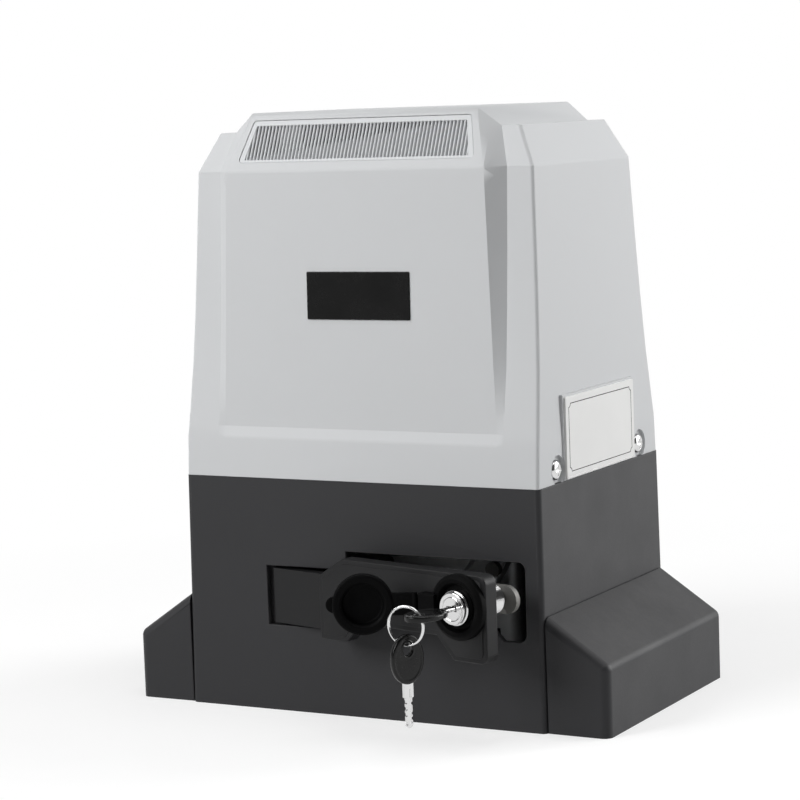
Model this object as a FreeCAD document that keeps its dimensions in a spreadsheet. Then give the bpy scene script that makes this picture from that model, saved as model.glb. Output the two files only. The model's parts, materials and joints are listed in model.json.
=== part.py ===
# Sliding gate motor: a worm-drive opener in a moulded housing under a faceted hood.
# Millimetres. +Z is up, the lever side faces -Y, and the origin lies on the mounting
# surface under the centre of the housing.
import FreeCAD
import Part
import Sketcher
import math
import os

V = FreeCAD.Vector
NEAR = 0.01  # how close two lengths must be to count as one
FLARE_STEPS = 6
FLARE_POWER = 4
FLARE_SPREAD = 1.5
WORM_DEDENDUM = 1.2
SPUR_DEDENDUM = 1.25
FLANK_STEPS = 5
MITRE = 22.5  # half the turn between two neighbouring sides of the hood's band
doc = FreeCAD.newDocument("GateMotor")
sheet = doc.addObject("Spreadsheet::Sheet", "Sizes")

SIZES = {
    # lower housing, drafted: half sizes at the seam, and how much wider the foot is
    "housing_half_x": 110.0,
    "housing_half_y": 78.5,
    "seam_height": 130.0,
    "draft_x": 0.9,
    "draft_y": 2.1,
    "housing_wall": 4.0,
    "housing_corner": 3.0,
    "floor_thick": 8.0,
    "flange_clear": 1.1,
    "flange_half_y": 68.0,
    "bolt_edge": 16.0,
    "bolt_y": 50.0,
    "bolt_radius": 5.5,
    "bolt_slot": 22.0,
    "lip_height": 4.0,
    "lip_thick": 2.5,
    "lip_step": 1.0,
    "tool_past": 1.0,
    "seat_gap": 0.3,
    # foot covers
    "foot_reach": 35.7,
    "foot_half_y": 79.2,
    "foot_outer_height": 38.0,
    "foot_inner_height": 62.0,
    "foot_wall": 2.5,
    "foot_round": 5.0,
    "foot_slope": 1.2,
    # hood: half sizes at the ledge, the shoulder, the pillar tops and the crown
    "hood_wall": 3.0,
    "hood_corner": 2.0,
    "skirt_half_x": 109.3,
    "skirt_half_y": 78.6,
    "ledge_height": 152.0,
    "ledge_half_y": 77.0,
    "face_rise": 6.0,
    "shoulder_height": 298.5,
    "shoulder_half_x": 104.1,
    "shoulder_half_y": 62.5,
    "flare_share": 0.36,
    "pillar_rise": 21.3,
    "pillar_half_x": 93.6,
    "pillar_half_y": 54.2,
    "band_foot_x": 89.0,
    "band_foot_top_x": 82.5,
    "band_low_x": 84.3,
    "band_low_y": 75.0,
    "band_high_x": 79.6,
    "band_high_y": 71.4,
    "crown_rise": 31.9,
    "crown_half_x": 69.7,
    "crown_half_y": 57.0,
    "crown_inset": 0.4,
    "least_corner": 0.4,
    # vent grilles on the slants between shoulder and crown
    "vent_low": 5.2,
    "vent_high": 30.5,
    "vent_half_low": 73.2,
    "vent_half_high": 67.5,
    "vent_recess": 1.6,
    "vent_flange": 1.3,
    "vent_round": 2.5,
    "slat_low": 5.9,
    "slat_high": 28.4,
    "slat_half_low": 70.6,
    "slat_half_high": 66.2,
    "slat_pitch": 2.2,
    "slat_width": 1.1,
    "slat_depth": 3.0,
    "slat_rise": 0.8,
    # badge and rating plate, both bare
    "badge_width": 63.5,
    "badge_height": 26.0,
    "badge_thick": 0.8,
    "badge_x": 2.4,
    "badge_z": 230.8,
    "plate_y0": -46.5,
    "plate_y1": 43.0,
    "plate_z0": 130.8,
    "plate_z1": 175.0,
    "plate_thick": 1.2,
    "pad_x": 110.2,
    # hood screws
    "screw_y": 54.0,
    "screw_z": 137.0,
    "screw_head": 5.5,
    "screw_head_thick": 2.6,
    "screw_shank": 2.0,
    "screw_recess": 8.0,
    "screw_seat_x": 107.3,
    "screw_end_x": 98.6,
    "screw_pan": 0.6,
    "cross_depth": 0.4,
    "pad_drop": 0.8,
    # window of the release lever in the front wall
    "window_left": -59.0,
    "window_low": 48.0,
    "window_step_x": -8.0,
    "window_step_z": 81.0,
    "window_top": 91.0,
    "window_past": 8.8,
    "window_sill": 59.6,
    "window_round": 4.0,
    "window_fit": 1.5,
    "relief_fit": 2.0,
    # release lever, in its own frame: u along the plate from the pivot, depth outwards
    "pivot_x": -50.0,
    "pivot_y": -72.0,
    "lever_open": 13.5,
    "pin_radius": 3.0,
    "pin_fit": 0.06,
    "pin_head_edge": 1.5,
    "pin_head_thick": 2.0,
    "lug_gap": 1.5,
    "lug_edge": 1.0,
    "barrel_radius": 6.0,
    "neck_front": 7.6,
    "neck_low": 49.2,
    "neck_high": 79.8,
    "neck_thick": 6.5,
    "neck_round": 1.5,
    "gusset_edge": 8.0,
    "plate_front": 16.6,
    "tray_depth": 8.7,
    "tray_wall": 2.4,
    "tray_corner": 0.42,
    "lever_left": 40.0,
    "lever_past": 16.8,
    "lever_top": 91.7,
    "lever_top_left": 57.4,
    "lever_left_top": 81.2,
    "lobe_left_low": 46.5,
    "lobe_left_end": 59.0,
    "lobe_right_low": 45.4,
    "lobe_right_before": 6.0,
    "lever_mid_low": 57.5,
    "lobe_right_slope": 11.5,
    "lever_round": 5.0,
    # cam lock in the lever plate
    "lock_u": 141.5,
    "lock_z": 74.5,
    "collar_radius": 17.5,
    "collar_inner": 12.0,
    "collar_height": 5.0,
    "collar_floor": 1.2,
    "collar_round": 1.8,
    "lug_lift": 0.4,
    "barrel_head": 9.4,
    "barrel_head_height": 5.6,
    "lock_radius": 8.0,
    "lock_length": 25.8,
    "nut_radius": 12.0,
    "nut_thick": 4.5,
    "plug_radius": 8.5,
    "plug_face": 7.4,
    "plug_core": 6.0,
    "plug_fit": 0.1,
    "cam_radius": 7.5,
    "cam_length": 15.5,
    "cam_thick": 3.0,
    "cam_screw_radius": 4.0,
    "cam_screw_height": 2.4,
    "screw_slot": 1.0,
    "plug_lap": 0.5,
    # dust cap on its strap
    "cap_hinge_before": 26.1,
    "cap_hinge_height": 6.5,
    "cap_arm": 27.2,
    "cap_swing": 140.0,
    "cap_radius": 16.0,
    "cap_depth": 8.0,
    "cap_dish_radius": 11.0,
    "cap_dish_depth": 6.0,
    "cap_round": 2.5,
    "cap_lip_round": 1.0,
    "cap_tab_radius": 4.5,
    "cap_tab_thick": 2.0,
    "strap_width": 12.0,
    "strap_thick": 2.2,
    "strap_knuckle": 1.5,
    # keys and ring
    "key_shoulder": 7.0,
    "key_head_length": 26.0,
    "key_head_width": 19.5,
    "key_head_thick": 3.6,
    "key_head_round": 0.9,
    "key_socket": 6.0,
    "key_socket_fit": 1.0,
    "key_total": 48.6,
    "key_hole_near": 4.2,
    "key_hole_far": 11.2,
    "key_hole_width": 5.6,
    "key_collar_width": 6.0,
    "key_blade_width": 4.0,
    "key_blade_thick": 1.8,
    "key_slot_fit": 0.15,
    "key_tip_round": 0.4,
    "notch_depth": 0.7,
    "notch_first": 2.2,
    "notch_width": 1.4,
    "notch_pitch": 2.6,
    "groove_half": 0.5,
    "groove_end": 2.0,
    "ring_radius": 10.0,
    "ring_wire": 0.75,
    "ring_hole_offset": 8.2,
    "ring_drop": 5.0,
    "ring_from_end": 8.4,
    "spare_turn": 62.0,
    "spare_gap": 0.8,
    "catch_reach": 8.0,
    # gearbox
    "wheel_x": 20.0,
    "drive_z": 95.0,
    "centre_distance": 40.0,
    "drive_y": 12.0,
    "gearbox_left": -48.0,
    "gearbox_right": 64.0,
    "gearbox_front": -14.0,
    "gearbox_rear": 60.0,
    "gearbox_top": 140.0,
    "gearbox_round": 6.0,
    "pedestal": 12.0,
    "pedestal_top": 40.0,
    "wheel_cavity": 35.0,
    "worm_bore": 15.0,
    "wheel_width": 16.0,
    "wheel_side": 3.0,
    "shaft_clearance": 1.0,
    "rear_clearance": 2.0,
    "worm_module": 2.0,
    "wheel_teeth": 30.0,
    "shaft_radius": 10.0,
    "shaft_fit": 0.05,
    "bearing_radius": 21.0,
    "bearing_width": 12.0,
    "rear_bearing_y": 42.0,
    "seal_width": 6.0,
    "cover_radius": 43.5,
    "cover_thick": 8.0,
    "cover_boss": 27.0,
    "cover_boss_height": 8.0,
    "cover_bolt_circle": 39.2,
    "cover_bolt_radius": 2.5,
    "cover_bolt_head": 4.2,
    "cover_bolt_height": 4.0,
    "cover_bolt_grip": 5.0,
    "cover_bolt_count": 6.0,
    "worm_outer": 12.0,
    "worm_root": 7.4,
    "worm_turns": 9.0,
    "thread_base": 2.7,
    "thread_crest": 1.0,
    "thread_sink": 0.6,
    "worm_relief": 3.0,
    "wheel_tooth_base": 1.8,
    "wheel_tooth_tip": 0.65,
    "wheel_web": 4.0,
    "wheel_hub": 5.0,
    "rotor_shaft_radius": 8.0,
    "shaft_low": 44.0,
    "shaft_past": 4.0,
    "small_bearing_radius": 16.0,
    "small_bearing_width": 10.0,
    "small_bearing_low": 46.0,
    "worm_bearing_low": 128.0,
    # output pinion on the rear end of the shaft
    "pinion_module": 4.0,
    "pinion_teeth": 17.0,
    "pinion_start": 84.0,
    "pinion_width": 26.0,
    "pinion_hub": 14.0,
    "pinion_hub_start": 62.0,
    "shaft_hole": 16.0,
    "washer_radius": 15.0,
    "washer_thick": 2.5,
    "pinion_bolt_radius": 4.0,
    "pinion_bolt_head": 7.5,
    "pinion_bolt_height": 5.5,
    "pinion_bolt_grip": 16.0,
    "pinion_thread_deep": 20.0,
    "shaft_end_gap": 0.5,
    "pressure_angle": 20.0,
    # motor
    "bell_radius": 46.0,
    "bell_top": 168.0,
    "bell_floor": 6.0,
    "bell_wall": 1.0,
    "bell_round": 5.0,
    "bell_seat_cover": 4.0,
    "bell_roof": 16.0,
    "upper_bell_tall": 18.0,
    "casing_inner": 41.0,
    "fin_radius": 50.0,
    "fin_thick": 2.0,
    "fin_count": 28.0,
    "fin_root": 2.0,
    "fin_end": 4.0,
    "motor_head_room": 22.5,
    "rotor_radius": 26.0,
    "rotor_low": 178.0,
    "rotor_drop": 10.0,
    "air_gap": 0.5,
    "stator_low": 180.0,
    "stator_drop": 12.0,
    "winding_inner": 29.0,
    "winding_outer": 38.0,
    "winding_height": 9.0,
    "winding_round": 3.0,
    "tie_circle": 43.0,
    "tie_head": 3.6,
    "tie_height": 3.0,
    "tie_count": 4.0,
    # control gear beside the motor
    "bracket_right": 82.0,
    "bracket_left": 30.0,
    "bracket_front": -34.0,
    "bracket_rear": 51.0,
    "bracket_thick": 2.0,
    "bracket_head_room": 22.5,
    "bracket_side": 14.0,
    "bracket_sill": 30.0,
    "bracket_lintel": 20.0,
    "capacitor_radius": 17.0,
    "capacitor_height": 72.0,
    "capacitor_x": 58.0,
    "capacitor_y": -10.0,
    "capacitor_round": 2.0,
    "tag_half": 3.0,
    "tag_thick": 1.0,
    "tag_height": 8.0,
    "tag_spread": 5.5,
    "clamp_wall": 1.2,
    "clamp_width": 10.0,
    "ear_half": 5.0,
    "board_gap": 4.0,
    "board_thick": 1.6,
    "board_low": 160.0,
    "board_drop": 8.0,
    "board_half_y": 40.0,
    "post_radius": 2.5,
    "post_inset": 6.0,
    "part_height": 8.5,
    "terminal_end": 4.0,
    "terminal_low": 2.0,
    "terminal_high": 12.0,
    "relay_low": 32.0,
    "relay_high": 18.0,
    "relay_width": 18.0,
    "relay_a_y": 6.0,
    "relay_b_y": 28.0,
    "chip_height": 2.2,
    "radio_height": 3.0,
    "can_radius": 4.0,
    "can_y": 14.0,
    "can_a_z": 24.0,
    "can_b_z": 36.0,
    # limit switch above the pinion, with its spring whisker
    "limit_x": 25.0,
    "limit_half_x": 13.0,
    "limit_front": 52.0,
    "limit_rear": 96.0,
    "limit_height": 24.0,
    "limit_margin": 1.0,
    "whisker_y": 88.0,
    "whisker_radius": 2.5,
    "whisker_length": 50.0,
    "whisker_socket": 4.0,
    "whisker_foot": 7.0,
    "whisker_room": 2.2,
    "limit_round": 2.0,
    # cable gland
    "gland_x": -75.0,
    "gland_z": 35.0,
    "gland_thread": 9.5,
    "gland_hex": 13.5,
    "gland_flange": 6.0,
    "gland_dome": 10.0,
    "gland_dome_low": 2.0,
    "gland_dome_high": 5.0,
    "gland_stem": 8.0,
    "gland_nut": 5.0,
    "gland_wall": 4.0,
}


class Size:
    """A size with the sheet formula that gives it, so that the two never part."""

    def __init__(self, value, formula):
        self.value = float(value)
        self.formula = formula

    def __add__(self, other):
        other = as_size(other)
        return Size(self.value + other.value, f"({self.formula} + {other.formula})")

    def __sub__(self, other):
        other = as_size(other)
        return Size(self.value - other.value, f"({self.formula} - {other.formula})")

    def __mul__(self, other):
        other = as_size(other)
        return Size(self.value * other.value, f"({self.formula} * {other.formula})")

    def __truediv__(self, other):
        other = as_size(other)
        return Size(self.value / other.value, f"({self.formula} / {other.formula})")

    def __neg__(self):
        return as_size(0) - self

    __radd__ = __add__
    __rmul__ = __mul__

    def __rsub__(self, other):
        return as_size(other) - self


def as_size(number):
    """A plain number as a size of its own."""
    if isinstance(number, Size):
        return number
    return Size(number, f"({float(number)!r})")


def sine(angle):
    return Size(math.sin(math.radians(angle.value)), f"sin({angle.formula})")


def cosine(angle):
    return Size(math.cos(math.radians(angle.value)), f"cos({angle.formula})")


def arctangent(rise, run):
    """The slope in degrees; the formula is kept in radians turned to plain degrees."""
    angle = math.degrees(math.atan2(rise.value, run.value))
    return Size(angle, f"(atan({rise.formula} / {run.formula}) / 1deg)")


class Driving:
    """The driving sizes by name."""


for row, (alias, number) in enumerate(SIZES.items(), start=1):
    sheet.set(f"A{row}", alias)
    sheet.set(f"B{row}", str(number))
    sheet.setAlias(f"B{row}", alias)
    setattr(Driving, alias, Size(number, f"Sizes.{alias}"))
doc.recompute()
D = Driving
FACE_HEIGHT = D.ledge_height + D.face_rise
PILLAR_HEIGHT = D.shoulder_height + D.pillar_rise
CROWN_HEIGHT = D.shoulder_height + D.crown_rise
FOOT_HALF_X = D.housing_half_x + D.draft_x + D.foot_reach
FLANGE_HALF_X = FOOT_HALF_X - D.foot_wall - D.flange_clear
BOLT_X = FLANGE_HALF_X - D.bolt_edge
WINDOW_RIGHT = D.pivot_x + D.lock_u + D.window_past
LEVER_RIGHT = D.lock_u + D.lever_past
LOBE_RIGHT_START = D.lock_u - D.lobe_right_before
LOBE_RIGHT_TOP = LOBE_RIGHT_START - D.lobe_right_slope
CAP_HINGE_U = D.lock_u - D.cap_hinge_before
UPPER_BELL_TOP = D.shoulder_height - D.motor_head_room
CASING_TOP = UPPER_BELL_TOP - D.upper_bell_tall
SHAFT_HIGH = UPPER_BELL_TOP + D.shaft_past
ROTOR_HIGH = CASING_TOP - D.rotor_drop
STATOR_HIGH = CASING_TOP - D.stator_drop
BRACKET_HEIGHT = D.shoulder_height - D.bracket_head_room
BOARD_HIGH = BRACKET_HEIGHT - D.board_drop
nodes = []


def bind(item, **sizes):
    """Ties properties of a document object to sheet formulas."""
    for name, size in sizes.items():
        item.setExpression(name, as_size(size).formula)
    return item


def place(item, x=0, y=0, z=0):
    """Ties where a document object stands to sheet formulas."""
    for axis, size in zip("xyz", (x, y, z)):
        item.setExpression(f"Placement.Base.{axis}", as_size(size).formula)
    return item


def turn(item, axis, angle):
    """Turns a document object about an axis through its own origin."""
    item.Placement = FreeCAD.Placement(V(0, 0, 0), FreeCAD.Rotation(V(*axis), as_size(angle).value))
    item.setExpression("Placement.Rotation.Angle", as_size(angle).formula)
    return item


def block(name, x, y, z):
    """A box between its limits, each given as (low, high)."""
    item = doc.addObject("Part::Box", name)
    bind(item, Length=as_size(x[1]) - x[0], Width=as_size(y[1]) - y[0], Height=as_size(z[1]) - z[0])
    return place(item, x[0], y[0], z[0])


DIRECTIONS = {
    "+x": ((0, 1, 0), 90),
    "-x": ((0, 1, 0), -90),
    "+y": ((1, 0, 0), -90),
    "-y": ((1, 0, 0), 90),
    "+z": ((0, 0, 1), 0),
}


def rod(name, radius, length, start, direction="+z"):
    """A cylinder from its start along a named direction."""
    item = doc.addObject("Part::Cylinder", name)
    axis, angle = DIRECTIONS[direction]
    item.Placement = FreeCAD.Placement(V(0, 0, 0), FreeCAD.Rotation(V(*axis), angle))
    bind(item, Radius=radius, Height=length)
    return place(item, *start)


def cone(name, radius_a, radius_b, length, start, direction="+z"):
    """A cone from its start along a named direction."""
    item = doc.addObject("Part::Cone", name)
    axis, angle = DIRECTIONS[direction]
    item.Placement = FreeCAD.Placement(V(0, 0, 0), FreeCAD.Rotation(V(*axis), angle))
    bind(item, Radius1=radius_a, Radius2=radius_b, Height=length)
    return place(item, *start)


def wedge(name, low, high, half_x, half_z, start_z=None):
    """A tapering block along Y; half_x and half_z give (at low, at high)."""
    item = doc.addObject("Part::Wedge", name)
    bind(item, Ymin=low, Ymax=high)
    bind(item, Xmin=-as_size(half_x[0]), Xmax=half_x[0], X2min=-as_size(half_x[1]), X2max=half_x[1])
    if start_z is None:
        bind(item, Zmin=-as_size(half_z[0]), Zmax=half_z[0])
        bind(item, Z2min=-as_size(half_z[1]), Z2max=half_z[1])
    else:
        bind(item, Zmin=start_z, Zmax=half_z, Z2min=start_z, Z2max=half_z)
    return item


def upright_wedge(name, low, high, half_x, half_y):
    """A tapering block standing on its low end."""
    item = wedge(name, low, high, half_x, half_y)
    return turn(item, (1, 0, 0), 90)


def fuse(name, *items):
    """Several objects as one solid."""
    item = doc.addObject("Part::MultiFuse", name)
    item.Shapes = list(items)
    item.Refine = True
    return item


def cut(name, base, *tools):
    """One object less the others."""
    item = doc.addObject("Part::Cut", name)
    item.Base = base
    item.Tool = tools[0] if len(tools) == 1 else fuse(name + "_tools", *tools)
    item.Refine = True
    return item


def common(name, first, second):
    """What two objects share."""
    item = doc.addObject("Part::Common", name)
    item.Base = first
    item.Tool = second
    return item


def rounded(name, base, radius, chosen):
    """The object with the chosen straight edges rounded."""
    doc.recompute()
    item = doc.addObject("Part::Fillet", name)
    item.Base = base
    size = as_size(radius).value
    item.Edges = [(i, size, size) for i, edge in enumerate(base.Shape.Edges, start=1) if chosen(edge)]
    return item


def along(*axis):
    """Chooses edges that run within about fifteen degrees of an axis."""
    axis = V(*axis)

    def chosen(edge):
        run = edge.Vertexes[-1].Point - edge.Vertexes[0].Point
        return len(edge.Vertexes) == 2 and run.Length > 0 and abs(run.dot(axis)) > 0.96 * run.Length

    return chosen


def prism(name, role, outline, start, depth):
    """A padded sketch of straight runs; each point is tied to the sheet."""
    body = doc.addObject("PartDesign::Body", name)
    sketch = body.newObject("Sketcher::SketchObject", name + "_outline")
    plane = next(item for item in body.Origin.OriginFeatures if item.Role == role)
    sketch.AttachmentSupport = [(plane, "")]
    sketch.MapMode = "FlatFace"
    sketch.setExpression("AttachmentOffset.Base.z", as_size(start).formula)
    points = [(as_size(a), as_size(b)) for a, b in outline]
    for index, (a, b) in enumerate(points):
        c, d = points[(index + 1) % len(points)]
        line = Part.LineSegment(V(a.value, b.value, 0), V(c.value, d.value, 0))
        sketch.addGeometry(line, False)
    for index, (a, b) in enumerate(points):
        before = (index - 1) % len(points)
        sketch.addConstraint(Sketcher.Constraint("Coincident", before, 2, index, 1))
    for index, (a, b) in enumerate(points):
        for kind, size in (("DistanceX", a), ("DistanceY", b)):
            number = sketch.addConstraint(Sketcher.Constraint(kind, -1, 1, index, 1, size.value))
            sketch.setExpression(f"Constraints[{number}]", size.formula)
    pad = body.newObject("PartDesign::Pad", name + "_pad")
    pad.Profile = sketch
    pad.setExpression("Length", as_size(depth).formula)
    sketch.Visibility = False
    doc.recompute()
    return body


def softened(body, radius, chosen, tag="round"):
    """Rounds the chosen edges of a padded body as its last feature."""
    tip = body.Tip
    names = [f"Edge{i}" for i, edge in enumerate(tip.Shape.Edges, start=1) if chosen(edge)]
    fillet = body.newObject("PartDesign::Fillet", f"{body.Name}_{tag}")
    fillet.Base = (tip, names)
    fillet.setExpression("Radius", as_size(radius).formula)
    body.Tip = fillet
    doc.recompute()
    return body


def form(name, shape):
    """A solid worked out from the sizes where no feature makes it."""
    item = doc.addObject("Part::Feature", name)
    item.Shape = shape
    return item


def node(label, item):
    """Names a finished sub-part."""
    item.Label = label
    nodes.append(item)
    return item


def lower_housing():
    """The drafted black housing with its floor, slotted feet, lip, window and bosses."""
    low_x, low_y = D.housing_half_x + D.draft_x, D.housing_half_y + D.draft_y
    outer = upright_wedge("housing_outer", 0, D.seam_height, (low_x, D.housing_half_x),
                          (low_y, D.housing_half_y))
    outer = rounded("housing_shell", outer, D.housing_corner, along(0, 0, 1))
    inner = upright_wedge("housing_cavity", D.floor_thick, D.seam_height + D.tool_past,
                          (low_x - D.housing_wall, D.housing_half_x - D.housing_wall),
                          (low_y - D.housing_wall, D.housing_half_y - D.housing_wall))
    shell = cut("housing_walls", outer, inner)
    flange = block("housing_flange", (-FLANGE_HALF_X, FLANGE_HALF_X),
                   (-D.flange_half_y, D.flange_half_y), (0, D.floor_thick))
    flange = rounded("housing_feet", flange, D.foot_round, along(0, 0, 1))
    lip_x = D.skirt_half_x - D.hood_wall - D.seat_gap
    lip_y = D.skirt_half_y - D.hood_wall - D.seat_gap * 2
    lip_low, lip_high = D.seam_height - D.floor_thick, D.seam_height + D.lip_height
    lip_inner_x, lip_inner_y = lip_x - D.lip_thick, lip_y - D.lip_thick - D.lip_step
    lip = cut("housing_lip", block("lip_outer", (-lip_x, lip_x), (-lip_y, lip_y), (lip_low, lip_high)),
              block("lip_inner", (-lip_inner_x, lip_inner_x), (-lip_inner_y, lip_inner_y),
                    (lip_low - D.tool_past, lip_high + D.tool_past)))
    parts = [shell, flange, lip]
    exit_y = D.housing_half_y - D.housing_wall * 2
    tools = [window_tool(), catch_relief(),
             rod("shaft_exit", D.shaft_hole, D.housing_wall * 4, (D.wheel_x, exit_y, D.drive_z), "+y"),
             rod("gland_exit", D.gland_thread + D.seat_gap, D.housing_wall * 4,
                 (D.gland_x, exit_y, D.gland_z), "+y")]
    slot_reach = D.bolt_slot / 2 - D.bolt_radius
    near, far = BOLT_X - slot_reach, BOLT_X + slot_reach
    slot_low, slot_high = -D.floor_thick / 2, D.floor_thick * 1.5
    x0, x1 = tab_reach()
    for side in (-1, 1):
        for end in (-1, 1):
            tag = f"{'l' if side < 0 else 'r'}{'f' if end < 0 else 'b'}"
            y = end * D.bolt_y
            run = (near, far) if side > 0 else (-far, -near)
            tools += [rod(f"slot_in_{tag}", D.bolt_radius, slot_high - slot_low, (run[0], y, slot_low)),
                      rod(f"slot_out_{tag}", D.bolt_radius, slot_high - slot_low, (run[1], y, slot_low)),
                      block(f"slot_{tag}", run, (y - D.bolt_radius, y + D.bolt_radius),
                            (slot_low, slot_high))]
            span = (x0, x1) if side > 0 else (-x1, -x0)
            y = end * D.screw_y
            parts.append(block(f"screw_tab_{tag}", span, (y - D.screw_recess, y + D.screw_recess),
                               (D.seam_height - D.floor_thick * 2, D.screw_z + D.screw_recess)))
            tools.append(rod(f"screw_hole_{tag}", D.screw_shank, x1 - x0 + D.tool_past * 2,
                             (side * (x0 - D.tool_past), y, D.screw_z), "+x" if side > 0 else "-x"))
    reach = D.barrel_radius + D.lug_edge
    for name, low, high in (("low", D.neck_low - D.floor_thick, D.neck_low - D.lug_gap),
                            ("high", D.neck_high + D.lug_gap, D.neck_high + D.floor_thick)):
        parts += [rod(f"pivot_lug_{name}", reach, high - low, (D.pivot_x, D.pivot_y, low)),
                  block(f"pivot_web_{name}", (D.pivot_x - reach, D.pivot_x + reach),
                        (-(D.housing_half_y - D.tool_past), D.pivot_y), (low, high))]
    pin_low = D.neck_low - D.floor_thick + D.lug_edge
    tools += [rod("pin_hole", D.pin_radius, D.neck_high + D.floor_thick + D.pin_head_thick - pin_low,
                  (D.pivot_x, D.pivot_y, pin_low)),
              rod("pin_head_room", D.pin_radius + D.pin_head_edge + D.seat_gap, D.pin_head_thick * 3,
                  (D.pivot_x, D.pivot_y, D.neck_high + D.floor_thick))]
    body = fuse("housing_body", *parts)
    return node("lower_housing", cut("housing_finished", body, *tools))


def tab_reach():
    """From where to where across the housing the screw tabs stand, on the +X side."""
    outer = D.screw_seat_x - D.hood_wall
    return outer - D.screw_head, outer


def window_tool():
    """The stepped window of the release lever, cut right through the front wall."""
    sill_run = D.window_sill - D.window_low
    left_end = D.pivot_x + D.lobe_left_end - D.window_fit
    right_start = D.pivot_x + LOBE_RIGHT_START + D.window_fit
    outline = [(D.window_left, D.window_low), (left_end, D.window_low),
               (left_end + sill_run, D.window_sill),
               (right_start - sill_run, D.window_sill), (right_start, D.window_low),
               (WINDOW_RIGHT, D.window_low), (WINDOW_RIGHT, D.window_top),
               (D.window_step_x, D.window_top), (D.window_step_x, D.window_step_z),
               (D.window_left, D.window_step_z)]
    body = prism("window", "XZ_Plane", outline, D.housing_half_y - D.housing_wall * 2, D.housing_wall * 4)
    right = WINDOW_RIGHT.value
    return softened(body, D.window_round, lambda edge: along(0, 1, 0)(edge)
                    and abs(edge.Vertexes[0].Point.x - right) < 0.01)


def catch_relief():
    """Room for the tip of the turned cam inside the right wall."""
    reach = D.pivot_x + D.lock_u + D.cam_length + D.seat_gap * 2
    depth = D.pivot_y + D.neck_front
    return block("catch_relief", (WINDOW_RIGHT + D.housing_wall, reach), (depth, depth + D.cam_radius * 2),
                 (D.lock_z - D.cam_radius - D.relief_fit, D.lock_z + D.cam_radius + D.relief_fit))


def foot_cover(side):
    """A wedge cover over one foot, open below and towards the housing."""
    name = "foot_cover_left" if side < 0 else "foot_cover_right"
    near = D.housing_half_x + D.draft_x + D.seat_gap

    def outline(wall, low):
        outer = FOOT_HALF_X - wall
        drop = D.foot_inner_height - wall * D.foot_slope
        points = [(side * (near - wall), low), (side * outer, low),
                  (side * outer, D.foot_outer_height - wall * D.foot_slope), (side * (near - wall), drop)]
        return points if side > 0 else points[::-1]

    half = D.foot_half_y
    body = prism(name + "_outer", "XZ_Plane", outline(as_size(0), as_size(0)), -half, half * 2)
    far = FOOT_HALF_X.value

    def outside(edge):
        middle = edge.CenterOfMass
        outer = abs(abs(middle.x) - far) < NEAR or abs(abs(middle.y) - half.value) < NEAR
        return middle.z > NEAR and outer and not abs(abs(middle.x) - near.value) < NEAR

    body = softened(body, D.foot_round, outside)
    inner_half = half - D.foot_wall
    cavity = prism(name + "_cavity", "XZ_Plane", outline(D.foot_wall, -D.tool_past), -inner_half,
                   inner_half * 2)
    ribs = []
    for end in (-1, 1):
        y = end * D.bolt_y / 2
        ribs.append(prism(f"{name}_rib_{'f' if end < 0 else 'b'}", "XZ_Plane",
                          outline(D.foot_wall / 2, D.floor_thick), y - D.foot_wall / 2, D.foot_wall))
    shell = cut(name + "_shell", body, cavity)
    joined = fuse(name + "_joined", shell, *ribs)
    keep = block(name + "_keep", (near, FOOT_HALF_X) if side > 0 else (-FOOT_HALF_X, -near),
                 (-half, half), (0, D.foot_inner_height))
    return node(name, common(name + "_finished", joined, keep))


def hood_halves(height, inset):
    """Half sizes of the hood at a height: pillar x and y, band x and y, and the band's foot in x."""
    d = {name: getattr(D, name).value for name in SIZES}
    if height <= d["ledge_height"]:
        drop = (d["ledge_height"] - height) / (d["ledge_height"] - d["seam_height"])
        y = d["ledge_half_y"] + drop * (d["skirt_half_y"] - d["ledge_half_y"])
        halves = [d["skirt_half_x"], y, d["band_low_x"], y, d["band_foot_x"]]
    elif height <= d["shoulder_height"]:
        share = (d["shoulder_height"] - height) / (d["shoulder_height"] - d["ledge_height"])
        flare = (1 - d["flare_share"]) * share + d["flare_share"] * share ** FLARE_POWER
        y = d["shoulder_half_y"] + flare * (d["ledge_half_y"] - d["shoulder_half_y"])
        x = d["shoulder_half_x"] + share * (d["skirt_half_x"] - d["shoulder_half_x"])
        band = (d["shoulder_height"] - height) / (d["shoulder_height"] - FACE_HEIGHT.value)
        halves = [x, y, d["band_high_x"] + band * (d["band_low_x"] - d["band_high_x"]),
                  d["band_high_y"] + band * (d["band_low_y"] - d["band_high_y"]), d["band_foot_x"]]
    else:
        rise = (height - d["shoulder_height"]) / (PILLAR_HEIGHT.value - d["shoulder_height"])
        crown = (height - d["shoulder_height"]) / (CROWN_HEIGHT.value - d["shoulder_height"])
        halves = [d["shoulder_half_x"] + rise * (d["pillar_half_x"] - d["shoulder_half_x"]),
                  d["shoulder_half_y"] + rise * (d["pillar_half_y"] - d["shoulder_half_y"]),
                  d["band_high_x"] + crown * (d["crown_half_x"] - d["band_high_x"]),
                  d["band_high_y"] + crown * (d["crown_half_y"] - d["band_high_y"]),
                  d["band_foot_x"] + rise * (d["band_foot_top_x"] - d["band_foot_x"])]
    corner_shift = inset * math.tan(math.radians(MITRE))
    return (halves[0] - inset, halves[1] - inset, halves[2] - corner_shift,
            halves[3] - inset, halves[4] - corner_shift)


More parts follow.
